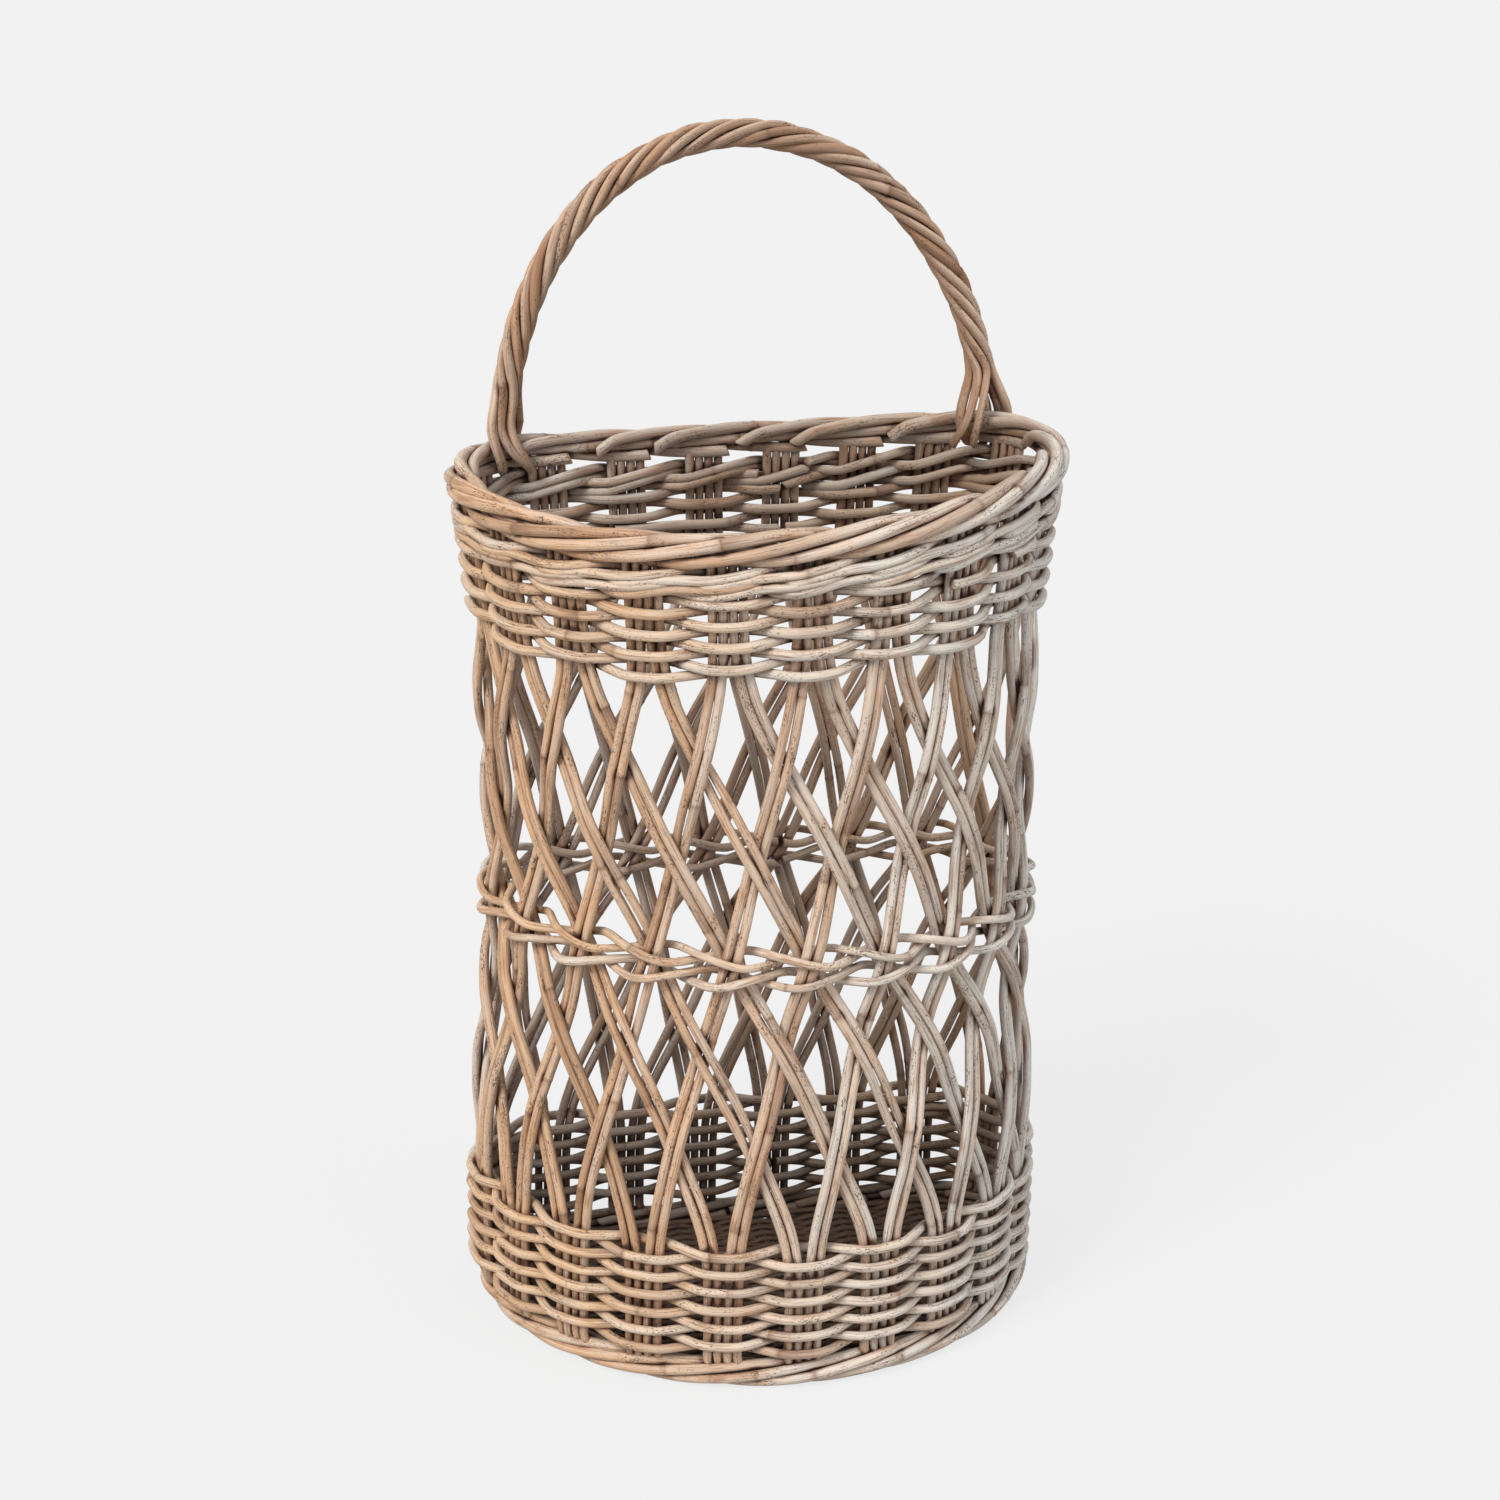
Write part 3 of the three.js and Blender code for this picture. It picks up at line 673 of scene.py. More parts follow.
# Rolled borders: a core with thick rods rolled round it. How many rods lie side by side round the
# core, how far out they run, and the angles round it, from straight out, where they start and end.
FOOT_BORDER = {
    "z": foot_z, "drop": 0, "length": foot_length, "core": 4, "rod": 5.5, "rods_round": 5,
    "orbit": 4.75, "angles": (-185, 172), "hooked": False,
}
RIM_BORDER = {
    "z": rim_z, "drop": RIM_FRONT_DROP, "length": rim_length, "core": 5.5, "rod": 6.0,
    "rods_round": 5, "orbit": 5.7, "angles": (-120, 150), "hooked": True,
}
BORDER_LEAD = 0.3

# A hooked rod ends in three steps inwards and down, by a depth between these two
HOOK_STEP = 3.0
HOOK_INWARDS = np.array([-1.0, -0.8, -0.2])
HOOK_SUNK = np.array([0.25, 0.6, 1.0])
HOOK_DEPTH = (4.5, 8.5)


def border_middle(border, turn):
    """Places along the middle of a border, with the directions out of it."""
    at, _, outward = wall(turn, border["z"])
    at[:, 2] -= border["drop"] * front_share(at[:, 1])
    return at, outward


def border_rod(border, station):
    """A rod that runs along a border while it turns from below, up the outside and over the top."""
    rate = 2 * math.pi / border["rods_round"] / (border["length"] / STATIONS)
    first, last = border["angles"]
    first = math.radians(first + rng.uniform(-10, 10))
    last = math.radians(last + rng.uniform(-16, 8))
    run = (last - first) / rate
    s = np.arange(0, run, 1.0)
    angle = first + rate * s
    radius = border["orbit"] * (1 + wander(s, 45, 0.04))
    out = radius * np.cos(angle)
    lift = radius * np.sin(angle)
    if border["hooked"]:
        s = np.concatenate([s, run + np.arange(1, 4) * HOOK_STEP])
        out = np.concatenate([out, out[-1] + HOOK_INWARDS])
        lift = np.concatenate([lift, lift[-1] - rng.uniform(*HOOK_DEPTH) * HOOK_SUNK])
    turn = station_turn(station) - s / border["length"] + BORDER_LEAD / STATIONS
    at, outward = border_middle(border, turn)
    path = at + outward * out[:, None] + UP * lift[:, None]
    fine = resampled(path, np.arange(0, along_path(path)[-1], 1.0))
    rod = border["rod"] * rng.uniform(0.9, 1.06)
    slant = (0.3, rng.uniform(-0.8, 0.8))
    return cane(smooth(fine, 2.0), rod, slant, node_spacing=(110, 260))


def border_core(border):
    """The cane that the border rods are rolled round, in one ring."""
    at, _ = border_middle(border, np.linspace(0, 1, 700))
    return cane(at, border["core"])


# Handle
def rim_turn_at(x):
    x = x - RIM_SHIFT
    straight = RIM_HALF_WIDTH - CORNER_RADIUS
    past = abs(x) - straight
    arc = straight + CORNER_RADIUS * math.asin(past / CORNER_RADIUS) if past > 0 else abs(x)
    return math.copysign(arc, x) / rim_length


split_z = rim_z + rim_radius + HANDLE_SPLAY
apex_z = rim_z + HANDLE_RISE
left_foot, right_foot = (
    wall(rim_turn_at(HANDLE_FOOT_LEAN + side * HANDLE_HALF_SPAN), rim_z) for side in (-1, 1)
)


def bow_arch(foot_height):
    """Points, sideways directions and shares of the way along the arch, from left to right."""
    bend = np.linspace(math.pi, 0, 600)
    bend = bend[rim_z + HANDLE_RISE * np.sin(bend) >= foot_height]
    x = HANDLE_HALF_SPAN * np.cos(bend)
    z = rim_z + HANDLE_RISE * np.sin(bend)
    sunk = (apex_z - z) / (apex_z - rim_z)
    lean = HANDLE_TOP_LEAN + (HANDLE_FOOT_LEAN - HANDLE_TOP_LEAN) * sunk
    path = np.stack([x + lean, np.full_like(x, left_foot[0][1]), z], -1)
    places = np.arange(0, along_path(path)[-1], 1.5)
    at = resampled(path, places)
    along = unit(np.gradient(at, axis=0))
    away = unit(np.cross(np.broadcast_to(FORWARD, along.shape), along))
    return at, away, places / places[-1]


def tail(foot, away, angle, tails, drift):
    """The end of a handle cane: inside it bends along the rim border, outside it tucks under it."""
    at, along, outward = foot
    beside = rim_radius + TAIL_GAP + HANDLE_CANE / 2
    along = along * np.sign(along.dot(away))
    spread = along * math.sin(angle) * HANDLE_CANE * TAIL_SPREAD
    inner = math.cos(angle) > 0
    side, shift, drift = (-1, tails["inner"], drift) if inner else (1, tails["outer"], 0)
    shares, heights = np.array(INNER_TAIL if inner else OUTER_TAIL).T
    reach = side * beside * shares
    middle = at + spread + RIGHT * shift
    drifts = drift * np.array(DRIFTED)
    return middle + outward * reach[:, None] + UP * heights[:, None] + RIGHT * drifts[:, None]


def handle_cane(index):
    at, away, share = bow_arch(split_z)
    angle = 2 * math.pi * (index / HANDLE_CANES + HANDLE_TURNS * share)
    angle = angle + wander(share * HANDLE_LENGTH, 160, 0.09)
    radius = (HANDLE_CANE * HANDLE_ORBIT) * (1 + wander(share * HANDLE_LENGTH, 90, 0.035))
    outward = FORWARD * np.cos(angle)[:, None] + away * np.sin(angle)[:, None]
    wound = at + outward * radius[:, None]
    left_drift = LEFT_TAILS["drifts"][index % 3]
    right_drift = RIGHT_TAILS["drifts"][index % 3]
    left = tail(left_foot, away[0], angle[0], LEFT_TAILS, left_drift)[::-1]
    right = tail(right_foot, away[-1], angle[-1], RIGHT_TAILS, right_drift)
    path = np.concatenate([left, wound[4:-4], right])
    fine = resampled(path, np.arange(0, along_path(path)[-1], 1.0))
    thickness = HANDLE_CANE * rng.uniform(0.93, 1.03)
    return cane(smooth(fine, 3.5), thickness, slant=(0.5, 0.5), node_spacing=(100, 260))


def handle_core():
    at, _, _ = bow_arch(rim_z + rim_radius + SEAT_GAP)
    return cane(at, HANDLE_BOW)


# Base
def base_span(polygon, axis, value):
    """Where a line across the base meets its edge."""
    a = polygon[:, axis] - value
    b = np.roll(a, -1)
    crossed = np.nonzero((a < 0) != (b < 0))[0]
    share = a[crossed] / (a[crossed] - b[crossed])
    other = polygon[:, 1 - axis]
    met = other[crossed] + share * (np.roll(other, -1)[crossed] - other[crossed])
    return met.min(), met.max()


def base_weave():
    """Sticks from front to back, rods woven over and under them, and a cane round the edge."""
    turns = np.linspace(0, 1, 720, endpoint=False)
    edge = on_wall(turns, foot_z, np.full_like(turns, BASE_EDGE_OVERLAP - base_inset))
    canes = []
    middle = BASE_THICKNESS / 2
    high_x = edge[:, 0].max()
    low_y, high_y = edge[:, 1].min(), edge[:, 1].max()
    outermost = math.floor((high_x - BASE_STICK_SPACING / 2) / BASE_STICK_SPACING)
    for x in np.arange(-outermost, outermost + 1) * BASE_STICK_SPACING:
        near, far = base_span(edge, 0, x)
        y = np.arange(near + 1, far - 1, 1.0)
        path = np.stack([x + wander(y, 80, 0.4), y, np.full_like(y, middle)], -1)
        canes.append(cane(path, BASE_STICK))
    rows = np.arange(high_y - BASE_BACK_ROW, low_y + 4, -BASE_ROW_SPACING)
    swing = (BASE_THICKNESS - BASE_WEAVER) / 2 - 0.1
    for row, y in enumerate(rows):
        left, right = base_span(edge, 1, y)
        x = np.arange(left + 1, right - 1, 1.0)
        phase = math.pi * (x / BASE_STICK_SPACING + row)
        z = middle + swing * np.cos(phase)
        canes.append(cane(np.stack([x, np.full_like(x, y), z], -1), BASE_WEAVER))
    turns = np.linspace(0, 1, 600)
    ring = on_wall(turns, foot_z, np.full_like(turns, BASE_RING_OVERLAP - base_inset))
    ring[:, 2] = BASE_THICKNESS - BASE_RING_SINK
    canes.append(cane(ring, BASE_STICK))
    return canes


# Materials
class Graph:
    """The shader nodes of a new material, with short calls for making and linking them."""

    def __init__(self, name):
        self.material = bpy.data.materials.new(name)
        self.material.use_nodes = True
        self.nodes = self.material.node_tree.nodes
        self.links = self.material.node_tree.links
        self.nodes.clear()

    def link(self, value, socket):
        if isinstance(value, bpy.types.NodeSocket):
            self.links.new(value, socket)
        elif value is not None:
            socket.default_value = value

    def attribute(self, name, output="Fac"):
        node = self.nodes.new("ShaderNodeAttribute")
        node.attribute_name = name
        return node.outputs[output]

    def math(self, operation, a, b=None, clamp=False):
        node = self.nodes.new("ShaderNodeMath")
        node.operation = operation
        node.use_clamp = clamp
        self.link(a, node.inputs[0])
        self.link(b, node.inputs[1])
        return node.outputs[0]

    def scaled(self, vector, scale):
        node = self.nodes.new("ShaderNodeVectorMath")
        node.operation = "MULTIPLY"
        self.link(vector, node.inputs[0])
        node.inputs[1].default_value = scale
        return node.outputs[0]

    def noise(self, vector, detail=3.0, roughness=0.6, distortion=0.0):
        node = self.nodes.new("ShaderNodeTexNoise")
        self.link(vector, node.inputs["Vector"])
        node.inputs["Scale"].default_value = 1.0
        node.inputs["Detail"].default_value = detail
        node.inputs["Roughness"].default_value = roughness
        node.inputs["Distortion"].default_value = distortion
        return node.outputs["Fac"]

    def span(self, value, low, high, to_low=0.0, to_high=1.0):
        node = self.nodes.new("ShaderNodeMapRange")
        node.interpolation_type = "SMOOTHSTEP"
        self.link(value, node.inputs["Value"])
        node.inputs["From Min"].default_value = low
        node.inputs["From Max"].default_value = high
        node.inputs["To Min"].default_value = to_low
        node.inputs["To Max"].default_value = to_high
        return node.outputs["Result"]

    def blend(self, share, a, b):
        node = self.nodes.new("ShaderNodeMix")
        node.data_type = "RGBA"
        self.link(share, node.inputs[0])
        self.link(a, node.inputs[6])
        self.link(b, node.inputs[7])
        return node.outputs[2]


def colour(red, green, blue):
    """A colour given as it looks on screen, 0 to 255."""
    def linear(level):
        level = level / 255
        return level / 12.92 if level <= 0.04045 else ((level + 0.055) / 1.055) ** 2.4
    return (linear(red), linear(green), linear(blue), 1.0)


# Noise level from which a place is a dark speck, and where it is one fully
SPECK = (0.63, 0.71)


def rattan(name, tan, washed, pale, wash_level):
    """Grey-washed rattan: grain along the cane, stain in the hollows, specks and growth rings."""
    g = Graph(name)
    straight = g.attribute("cane_space", "Vector")
    tone = g.attribute("tone")
    crevice_stain_and_shade = g.attribute("crevice_stain_and_shade")
    side = g.attribute("side")

    # Patterns, in millimetres along and across the cane
    mottle = g.noise(g.scaled(straight, (0.03, 0.16, 0.16)), 3, 0.55)
    grain = g.noise(g.scaled(straight, (0.035, 1.3, 1.3)), 4, 0.65, 0.4)
    fibre = g.noise(g.scaled(straight, (0.09, 3.6, 3.6)), 3, 0.6)
    fleck = g.noise(g.scaled(straight, (0.7, 1.7, 1.7)), 2, 0.5)
    cluster = g.noise(g.scaled(straight, (0.05, 0.2, 0.2)), 2, 0.5)
    speck = g.math("ADD", fleck, g.math("MULTIPLY", g.math("SUBTRACT", cluster, 0.5), 0.55))

    # Grey wash over tan cane, greyer to the right and warmer to the left
    wash = g.math("ADD", g.math("MULTIPLY", g.math("SUBTRACT", mottle, 0.5), 1.3), wash_level)
    wash = g.math("ADD", wash, g.math("MULTIPLY", g.math("SUBTRACT", tone, 0.5), 0.4))
    wash = g.math("ADD", wash, g.math("MULTIPLY", side, 0.5), clamp=True)
    warm = (tan[0] * 0.99, tan[1] * 0.95, tan[2] * 0.88, 1)
    body = g.blend(wash, g.blend(g.span(side, 0.2, -0.8), tan, warm), washed)

    # Pale streaks on the raised grain, partly a painted highlight, then stained streaks, darker
    # canes, and the old leaf sheath past a growth node
    body = g.blend(g.span(grain, 0.52, 0.74, 0, 0.5), body, pale)
    body = g.blend(g.span(grain, 0.47, 0.36, 0, 0.62), body, colour(116, 78, 55))
    body = g.blend(g.span(mottle, 0.43, 0.29, 0, 0.6), body, colour(150, 106, 74))
    body = g.blend(g.span(tone, 0.24, 0.0, 0, 0.35), body, colour(140, 102, 76))
    body = g.blend(g.span(fibre, 0.44, 0.32, 0, 0.5), body, colour(96, 72, 56))
    worn = g.math("MULTIPLY", g.attribute("sheath"), g.span(grain, 0.7, 0.4, 0.55, 1))
    body = g.blend(g.math("MULTIPLY", worn, 0.85), body, colour(122, 88, 68))

    # The inward-facing sides painted darker, partly painted shade inside the basket and partly less
    # grey wash there; then specks, growth rings and cut ends
    shade = g.blend(g.span(side, -0.5, 0.7), colour(114, 94, 75), colour(142, 98, 72))
    body = g.blend(g.math("MULTIPLY", g.attribute("inside"), 0.72), body, shade)
    body = g.blend(g.span(speck, *SPECK, 0, 0.8), body, colour(68, 45, 33))
    body = g.blend(g.math("MULTIPLY", g.attribute("ring"), 0.42), body, colour(104, 72, 52))
    body = g.blend(g.math("MULTIPLY", g.attribute("cut"), 0.6), body, colour(160, 126, 94))

    # Less colour on the right, then brown stain and dark painted shade in the crevices between
    # canes, and painted shade deep in the basket
    grey = g.nodes.new("ShaderNodeRGBToBW")
    g.links.new(body, grey.inputs[0])
    body = g.blend(g.span(side, 0.2, 0.95, 0, 0.15), body, grey.outputs[0])
    body = g.blend(g.span(crevice_stain_and_shade, 0.32, 1.0, 0, 0.42), body, colour(130, 82, 56))
    body = g.blend(g.span(crevice_stain_and_shade, 0.7, 1.5, 0, 0.86), body, colour(58, 34, 24))
    # Painted shade, darker towards the bottom inside the basket and inside the top band
    body = g.blend(g.math("MULTIPLY", g.attribute("deep_shade"), 0.6), body, colour(44, 34, 27))

    height = g.math("ADD", g.math("MULTIPLY", grain, 0.5), g.math("MULTIPLY", fibre, 0.35))
    height = g.math("ADD", height, g.span(speck, *SPECK, 0, -0.4))
    bump = g.nodes.new("ShaderNodeBump")
    bump.inputs["Strength"].default_value = 0.55
    bump.inputs["Distance"].default_value = 0.0005
    g.links.new(height, bump.inputs["Height"])

    shader = g.nodes.new("ShaderNodeBsdfPrincipled")
    g.links.new(body, shader.inputs["Base Color"])
    g.links.new(g.span(grain, 0.3, 0.7, 0.74, 0.5), shader.inputs["Roughness"])
    g.links.new(bump.outputs["Normal"], shader.inputs["Normal"])
    shader.inputs["Specular IOR Level"].default_value = 0.35
    output = g.nodes.new("ShaderNodeOutputMaterial")
    g.links.new(shader.outputs["BSDF"], output.inputs["Surface"])
    return g.material


TAN = colour(207, 170, 138)
WASHED = colour(211, 206, 197)
# Colour of pale grain, which also serves as a painted highlight on the raised grain
PALE_GRAIN_AND_HIGHLIGHT = colour(232, 219, 202)
materials = {
    "upright_cane": rattan("upright_cane", TAN, WASHED, PALE_GRAIN_AND_HIGHLIGHT, 0.42),
    "weaving_cane": rattan(
        "weaving_cane", colour(213, 180, 148), WASHED, colour(219, 204, 186), 0.53
    ),
    "border_cane": rattan("border_cane", colour(210, 174, 143), WASHED, PALE_GRAIN_AND_HIGHLIGHT, 0.5),
    "handle_cane": rattan(
        "handle_cane", colour(184, 138, 102), colour(206, 186, 166), PALE_GRAIN_AND_HIGHLIGHT, 0.4
    ),
    # The base canes get dark colours that stand in for the shade inside the basket: painted shade
    "base_cane": rattan("base_cane", colour(104, 80, 62), colour(112, 98, 84), TAN, 0.4),
}

# Pieces: the canes of each CAD node, as one mesh. How crowded a place is comes from a grid of
# cells, and CREVICE_BASE is what a cane by itself makes of it.
CREVICE_CELL = 1.5
CREVICE_BASE = 0.13
CREVICE_RANGE = 0.6
CREVICE_MARGIN = 12
# Where to look for other canes from a place on a cane: a share, and how far out, across and along
LOOKS = (
    (0.5, 2.4, 0, 0), (0.25, 5, 0, 0), (0.45, 1.2, 2.4, 0), (0.45, 1.2, -2.4, 0),
    (0.15, 1.6, 0, 2.4), (0.15, 1.6, 0, -2.4),
)
FLOOR_CLEARANCE = 0.05

# Painted shade inside the basket: how thick the wall is before it begins, below which height the
# bottom is painted darker and over what height it does so, and the painted shade inside the top
# band
WALL_FADE = 3
DEEP_SHADE_BELOW = 130
DEEP_SHADE_FADE = 90
TOP_SHADE = 0.3
TOP_SHADE_RISE = 15

# The basket is greyer on its right and warmer on its left. At the back, from the first to the
# second of these places in y, this is lost and turns round. On the handle little of it is left.
SIDE_BACK = (20, 70)
SIDE_BACK_LOSS = 1.5
SIDE_HANDLE = 0.3
HANDLE_ABOVE_RIM = 5
HANDLE_FADE = 15

# The inner sides of the canes face this place in y
INSIDE_MIDDLE_Y = 10


def joined(canes, key):
    return np.concatenate([c[key] for c in canes])


def crowding(canes):
    """A function that tells how close other canes stand to a place."""
    cloud = joined(canes, "vertices")
    low = cloud.min(0) - CREVICE_MARGIN
    size = np.ceil((cloud.max(0) + CREVICE_MARGIN - low) / CREVICE_CELL).astype(int)
    cells = ((cloud - low) / CREVICE_CELL).astype(int)
    grid = np.zeros(size, np.float32)
    np.add.at(grid, tuple(cells.T), joined(canes, "weight"))
    for axis in range(3):
        grid = np.moveaxis(smooth(np.moveaxis(grid, axis, 0), 0.9), 0, axis)

    def at(places):
        cell = np.clip(((places - low) / CREVICE_CELL).astype(int), 0, size - 1)
        return grid[tuple(cell.T)]

    return at


def within(vertices):
    """1 for places inside the basket, 0 for places on the outer face of its wall."""
    here = np.arctan2(vertices[:, 1], vertices[:, 0])
    edge = np.zeros(len(vertices))
    for share, (_, samples, _) in zip(level_shares(vertices[:, 2]), levels):
        angle = np.arctan2(samples["y"], samples["x"])
        reach = np.hypot(samples["x"], samples["y"])
        edge += share * np.interp(here, angle, reach, period=2 * math.pi)
    return np.clip((edge - np.hypot(vertices[:, 0], vertices[:, 1])) / WALL_FADE, 0, 1)


def shading(vertices, normals, tangents, crowd):
    """What the material needs to know of each place: crevices, where stain and painted shade go,
    the inner side and the depth in the basket, which get painted shade, and side.
    """
    across = np.cross(tangents, normals)
    crevice_stain_and_shade = np.zeros(len(vertices))
    # Crowding just off each place, where the material paints brown stain and dark painted shade in
    # the crevices
    for share, ahead, sideways, along in LOOKS:
        look = normals * ahead + across * sideways + tangents * along
        crevice_stain_and_shade += share * np.clip((crowd(vertices + look) - CREVICE_BASE) / CREVICE_RANGE, 0, 1)
    x, y, z = vertices.T
    from_axis = vertices * np.array([1, 1, 0]) - np.array([0, INSIDE_MIDDLE_Y, 0])
    above = np.clip((z - rim_z - HANDLE_ABOVE_RIM) / HANDLE_FADE, 0, 1)
    at_back = rise(y, *SIDE_BACK)
    sided = (1 - above) * (1 - SIDE_BACK_LOSS * at_back) + SIDE_HANDLE * above
    # Painted shade towards the bottom inside the basket
    bottom_shade = np.clip((DEEP_SHADE_BELOW - z) / DEEP_SHADE_FADE, 0, 1)
    shaded = TOP_SHADE * (1 - above) * rise(z, lattice_top_z - TOP_SHADE_RISE, lattice_top_z)
    return {
        "crevice_stain_and_shade": crevice_stain_and_shade,
        # Inward-facing sides, which the material paints with shade and less wash
        "inside": np.clip(-(normals * unit(from_axis)).sum(1), 0, 1),
        "deep_shade": within(vertices) * (bottom_shade + shaded),
        "side": x / RIM_HALF_WIDTH * sided,
    }


def make_piece(name, slot, nodes, canes, crowd):
    offsets = np.cumsum([0] + [len(c["vertices"]) for c in canes])
    vertices = joined(canes, "vertices")
    vertices[:, 2] = np.maximum(vertices[:, 2], FLOOR_CLEARANCE)
    faces = np.concatenate([c["faces"] + o for c, o in zip(canes, offsets)])
    mesh = bpy.data.meshes.new(name)
    mesh.from_pydata((vertices * MM + origin_shift).tolist(), [], faces.tolist())
    mesh.shade_smooth()

    values = {key: joined(canes, key) for key in ("tone", "ring", "sheath", "cut")}
    values |= shading(vertices, joined(canes, "normals"), joined(canes, "tangents"), crowd)
    for key, value in values.items():
        attribute = mesh.attributes.new(key, "FLOAT", "POINT")
        attribute.data.foreach_set("value", value.astype(np.float32))
    attribute = mesh.attributes.new("cane_space", "FLOAT_VECTOR", "POINT")
    attribute.data.foreach_set("vector", joined(canes, "straight").astype(np.float32).ravel())

    piece = bpy.data.objects.new(name, mesh)
    bpy.context.scene.collection.objects.link(piece)
    mesh.materials.append(materials[slot])
    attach(piece, "root")
    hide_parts(*nodes)


pieces = []


def plan(name, slot, node, canes):
    pieces.append((name, slot, [node], canes))


plan("base_weave", "base_cane", "base_panel", base_weave())
for i in range(STATIONS):
    for word, lean in (("right", -1), ("left", 1)):
        name, node = f"{word}_leaning_canes_{i + 1:02d}", f"{word}_leaning_pair_{i + 1:02d}"
        plan(name, "upright_cane", node, upright_pair(i, lean))
for i in range(LOW_ROWS // WEAVER_TURNS):
    canes = band_weaver(i, low_start_z, low_pitch, LOW_ROD)
    plan(f"low_band_rods_{i + 1}", "weaving_cane", f"low_band_weaver_{i + 1}", canes)
for i, (row, first) in enumerate(((0, 0), (0, 1), (1, 0), (1, 1))):
    plan(f"waist_rods_{i + 1}", "weaving_cane", f"waist_band_rod_{i + 1}", waist_rod(row, first))
for i in range(TOP_ROWS // WEAVER_TURNS):
    canes = band_weaver(i, top_start_z, top_pitch, TOP_ROD)
    plan(f"top_band_rods_{i + 1}", "weaving_cane", f"top_band_weaver_{i + 1}", canes)
for i in range(WALE_ROWS):
    plan(f"top_wale_rods_{i + 1}", "weaving_cane", f"top_wale_rod_{i + 1}", wale_rods(i))

foot_rods = [border_rod(FOOT_BORDER, i) for i in range(STATIONS)]
rim_rods = [border_rod(RIM_BORDER, i) for i in range(STATIONS)]
foot_rods.append(border_core(FOOT_BORDER))
rim_rods.append(border_core(RIM_BORDER))
for i in range(3):
    for border, rods in (("foot", foot_rods), ("rim", rim_rods)):
        name, node = f"{border}_border_rods_{i + 1}", f"{border}_border_strand_{i + 1}"
        plan(name, "border_cane", node, rods[i::3])

plan("handle_core", "handle_cane", "handle_bow", [handle_core()])
handle_canes = [handle_cane(i) for i in range(HANDLE_CANES)]
for i in range(3):
    canes = handle_canes[2 * i:2 * i + 2]
    plan(f"handle_canes_{i + 1}", "handle_cane", f"handle_strand_{i + 1}", canes)

crowd = crowding([c for _, _, _, canes in pieces for c in canes])
for name, slot, nodes, canes in pieces:
    make_piece(name, slot, nodes, canes, crowd)


def towards(azimuth, elevation):
    """The direction from the object to a viewer or a light."""
    a = math.radians(azimuth)
    e = math.radians(elevation)
    return Vector((math.sin(a) * math.cos(e), -math.cos(a) * math.cos(e), math.sin(e)))


# Camera at the photograph's viewing angle
CAMERA_AZIMUTH = -13.42
CAMERA_ELEVATION = 20.715
CAMERA_DISTANCE = 1.7
CAMERA_ROLL = 1.085
CAMERA_AIM = (-0.01051, 0.00309, 0.31066)
FOCAL_PIXELS = 3396
IMAGE_PIXELS = 1500


def make_camera():
    data = bpy.data.cameras.new("camera")
    data.sensor_width = 36
    data.lens = data.sensor_width * FOCAL_PIXELS / IMAGE_PIXELS
    camera = bpy.data.objects.new("camera", data)
    bpy.context.scene.collection.objects.link(camera)
    back = towards(CAMERA_AZIMUTH, CAMERA_ELEVATION)
    right = (-back).cross(Vector((0, 0, 1))).normalized()
    up = right.cross(-back)
    roll = math.radians(CAMERA_ROLL)
    rolled_right = right * math.cos(roll) + up * math.sin(roll)
    rolled_up = up * math.cos(roll) - right * math.sin(roll)
    place = Matrix((rolled_right, rolled_up, back)).transposed().to_4x4()
    place.translation = Vector(CAMERA_AIM) + back * CAMERA_DISTANCE
    camera.matrix_world = place
    bpy.context.scene.camera = camera


# Light and background
BACKGROUND = colour(241, 241, 241)
AMBIENT = 0.51
FLOOR_SHADOW = 0.12
FLOOR_SEEN = 0.76
FLOOR_BOUNCE = 0.45
FLOOR_HALF_WIDTH = 40
# Azimuth, elevation, strength, and the width in degrees, which makes the shadows soft
SUNS = {"key": (-54, 44, 2.72, 26), "fill": (48, 30, 0.85, 60)}


def make_sun(name, azimuth, elevation, strength, width):
    data = bpy.data.lights.new(name, "SUN")
    data.energy = strength
    data.angle = math.radians(width)
    sun = bpy.data.objects.new(name, data)
    bpy.context.scene.collection.objects.link(sun)
    sun.rotation_mode = "QUATERNION"
    sun.rotation_quaternion = towards(azimuth, elevation).to_track_quat("Z", "Y")


def seen_directly(nodes, links):
    """1 for rays that show the background itself, also in a reflection or through glass."""
    path = nodes.new("ShaderNodeLightPath")
    last = path.outputs["Is Camera Ray"]
    for name in ("Is Glossy Ray", "Is Transmission Ray"):
        most = nodes.new("ShaderNodeMath")
        most.operation = "MAXIMUM"
        links.new(last, most.inputs[0])
        links.new(path.outputs[name], most.inputs[1])
        last = most.outputs[0]
    return last


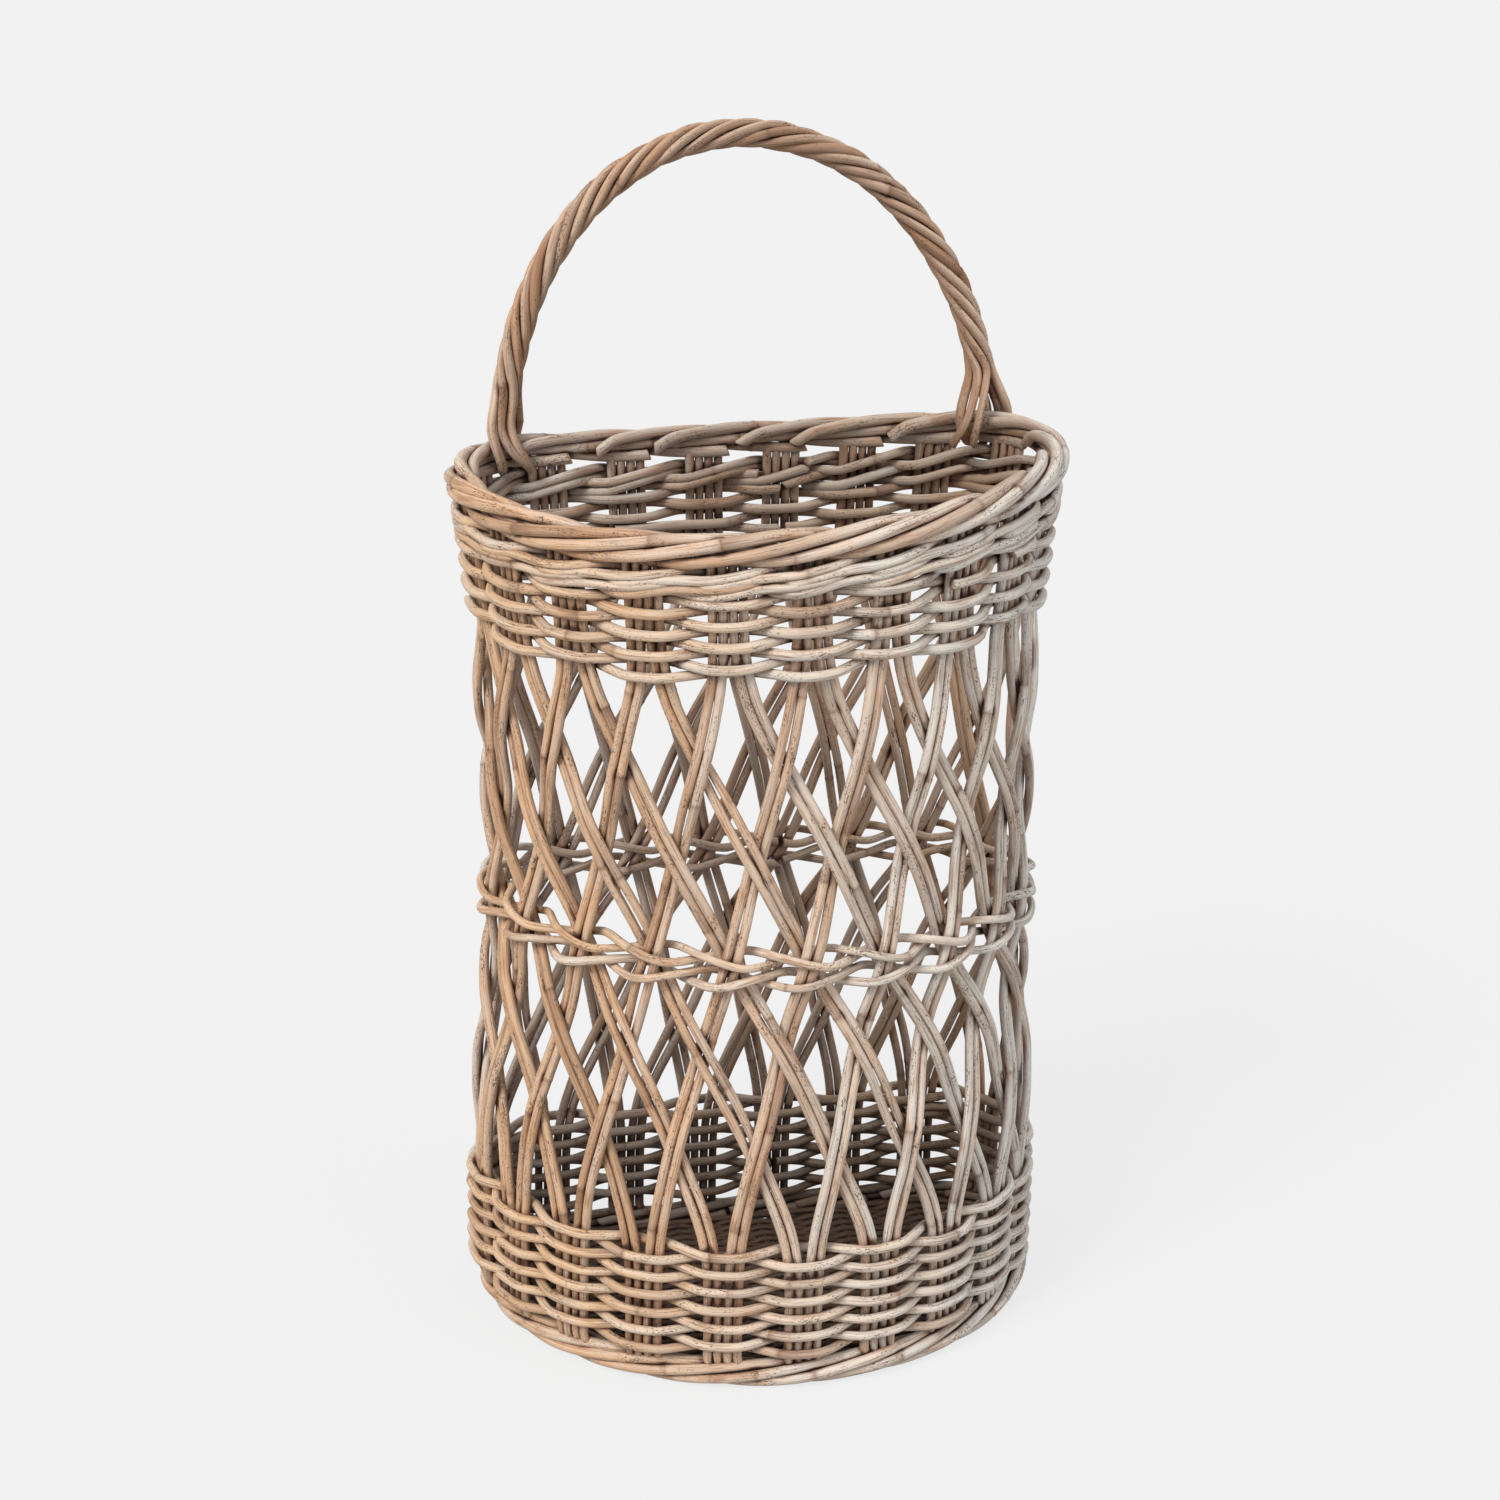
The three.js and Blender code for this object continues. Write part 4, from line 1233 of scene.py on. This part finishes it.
def make_world():
    world = bpy.data.worlds.new("studio")
    bpy.context.scene.world = world
    world.use_nodes = True
    nodes = world.node_tree.nodes
    links = world.node_tree.links
    nodes.clear()
    ambient = nodes.new("ShaderNodeBackground")
    ambient.inputs["Color"].default_value = (1, 1, 1, 1)
    ambient.inputs["Strength"].default_value = AMBIENT
    shown = nodes.new("ShaderNodeBackground")
    shown.inputs["Color"].default_value = BACKGROUND
    mix = nodes.new("ShaderNodeMixShader")
    output = nodes.new("ShaderNodeOutputWorld")
    links.new(seen_directly(nodes, links), mix.inputs[0])
    links.new(ambient.outputs[0], mix.inputs[1])
    links.new(shown.outputs[0], mix.inputs[2])
    links.new(mix.outputs[0], output.inputs["Surface"])


def make_floor():
    """A floor that looks like the background, with a faint shadow."""
    mesh = bpy.data.meshes.new("floor")
    half = FLOOR_HALF_WIDTH
    corners = [(-half, -half, 0), (half, -half, 0), (half, half, 0), (-half, half, 0)]
    mesh.from_pydata(corners, [], [(0, 1, 2, 3)])
    floor = bpy.data.objects.new("floor", mesh)
    bpy.context.scene.collection.objects.link(floor)
    g = Graph("floor")
    mesh.materials.append(g.material)
    seen = seen_directly(g.nodes, g.links)
    pale = g.nodes.new("ShaderNodeMapRange")
    pale.inputs["To Min"].default_value = FLOOR_BOUNCE
    pale.inputs["To Max"].default_value = FLOOR_SEEN
    g.links.new(seen, pale.inputs["Value"])
    diffuse = g.nodes.new("ShaderNodeBsdfDiffuse")
    g.links.new(pale.outputs["Result"], diffuse.inputs["Color"])
    shown = g.nodes.new("ShaderNodeEmission")
    shown.inputs["Color"].default_value = BACKGROUND
    mix = g.nodes.new("ShaderNodeMixShader")
    g.links.new(g.math("MULTIPLY", seen, 1 - FLOOR_SHADOW), mix.inputs[0])
    g.links.new(diffuse.outputs[0], mix.inputs[1])
    g.links.new(shown.outputs[0], mix.inputs[2])
    output = g.nodes.new("ShaderNodeOutputMaterial")
    g.links.new(mix.outputs[0], output.inputs["Surface"])


make_camera()
make_world()
make_floor()
for name, sun in SUNS.items():
    make_sun(name, *sun)
bpy.context.scene.view_settings.view_transform = "Standard"
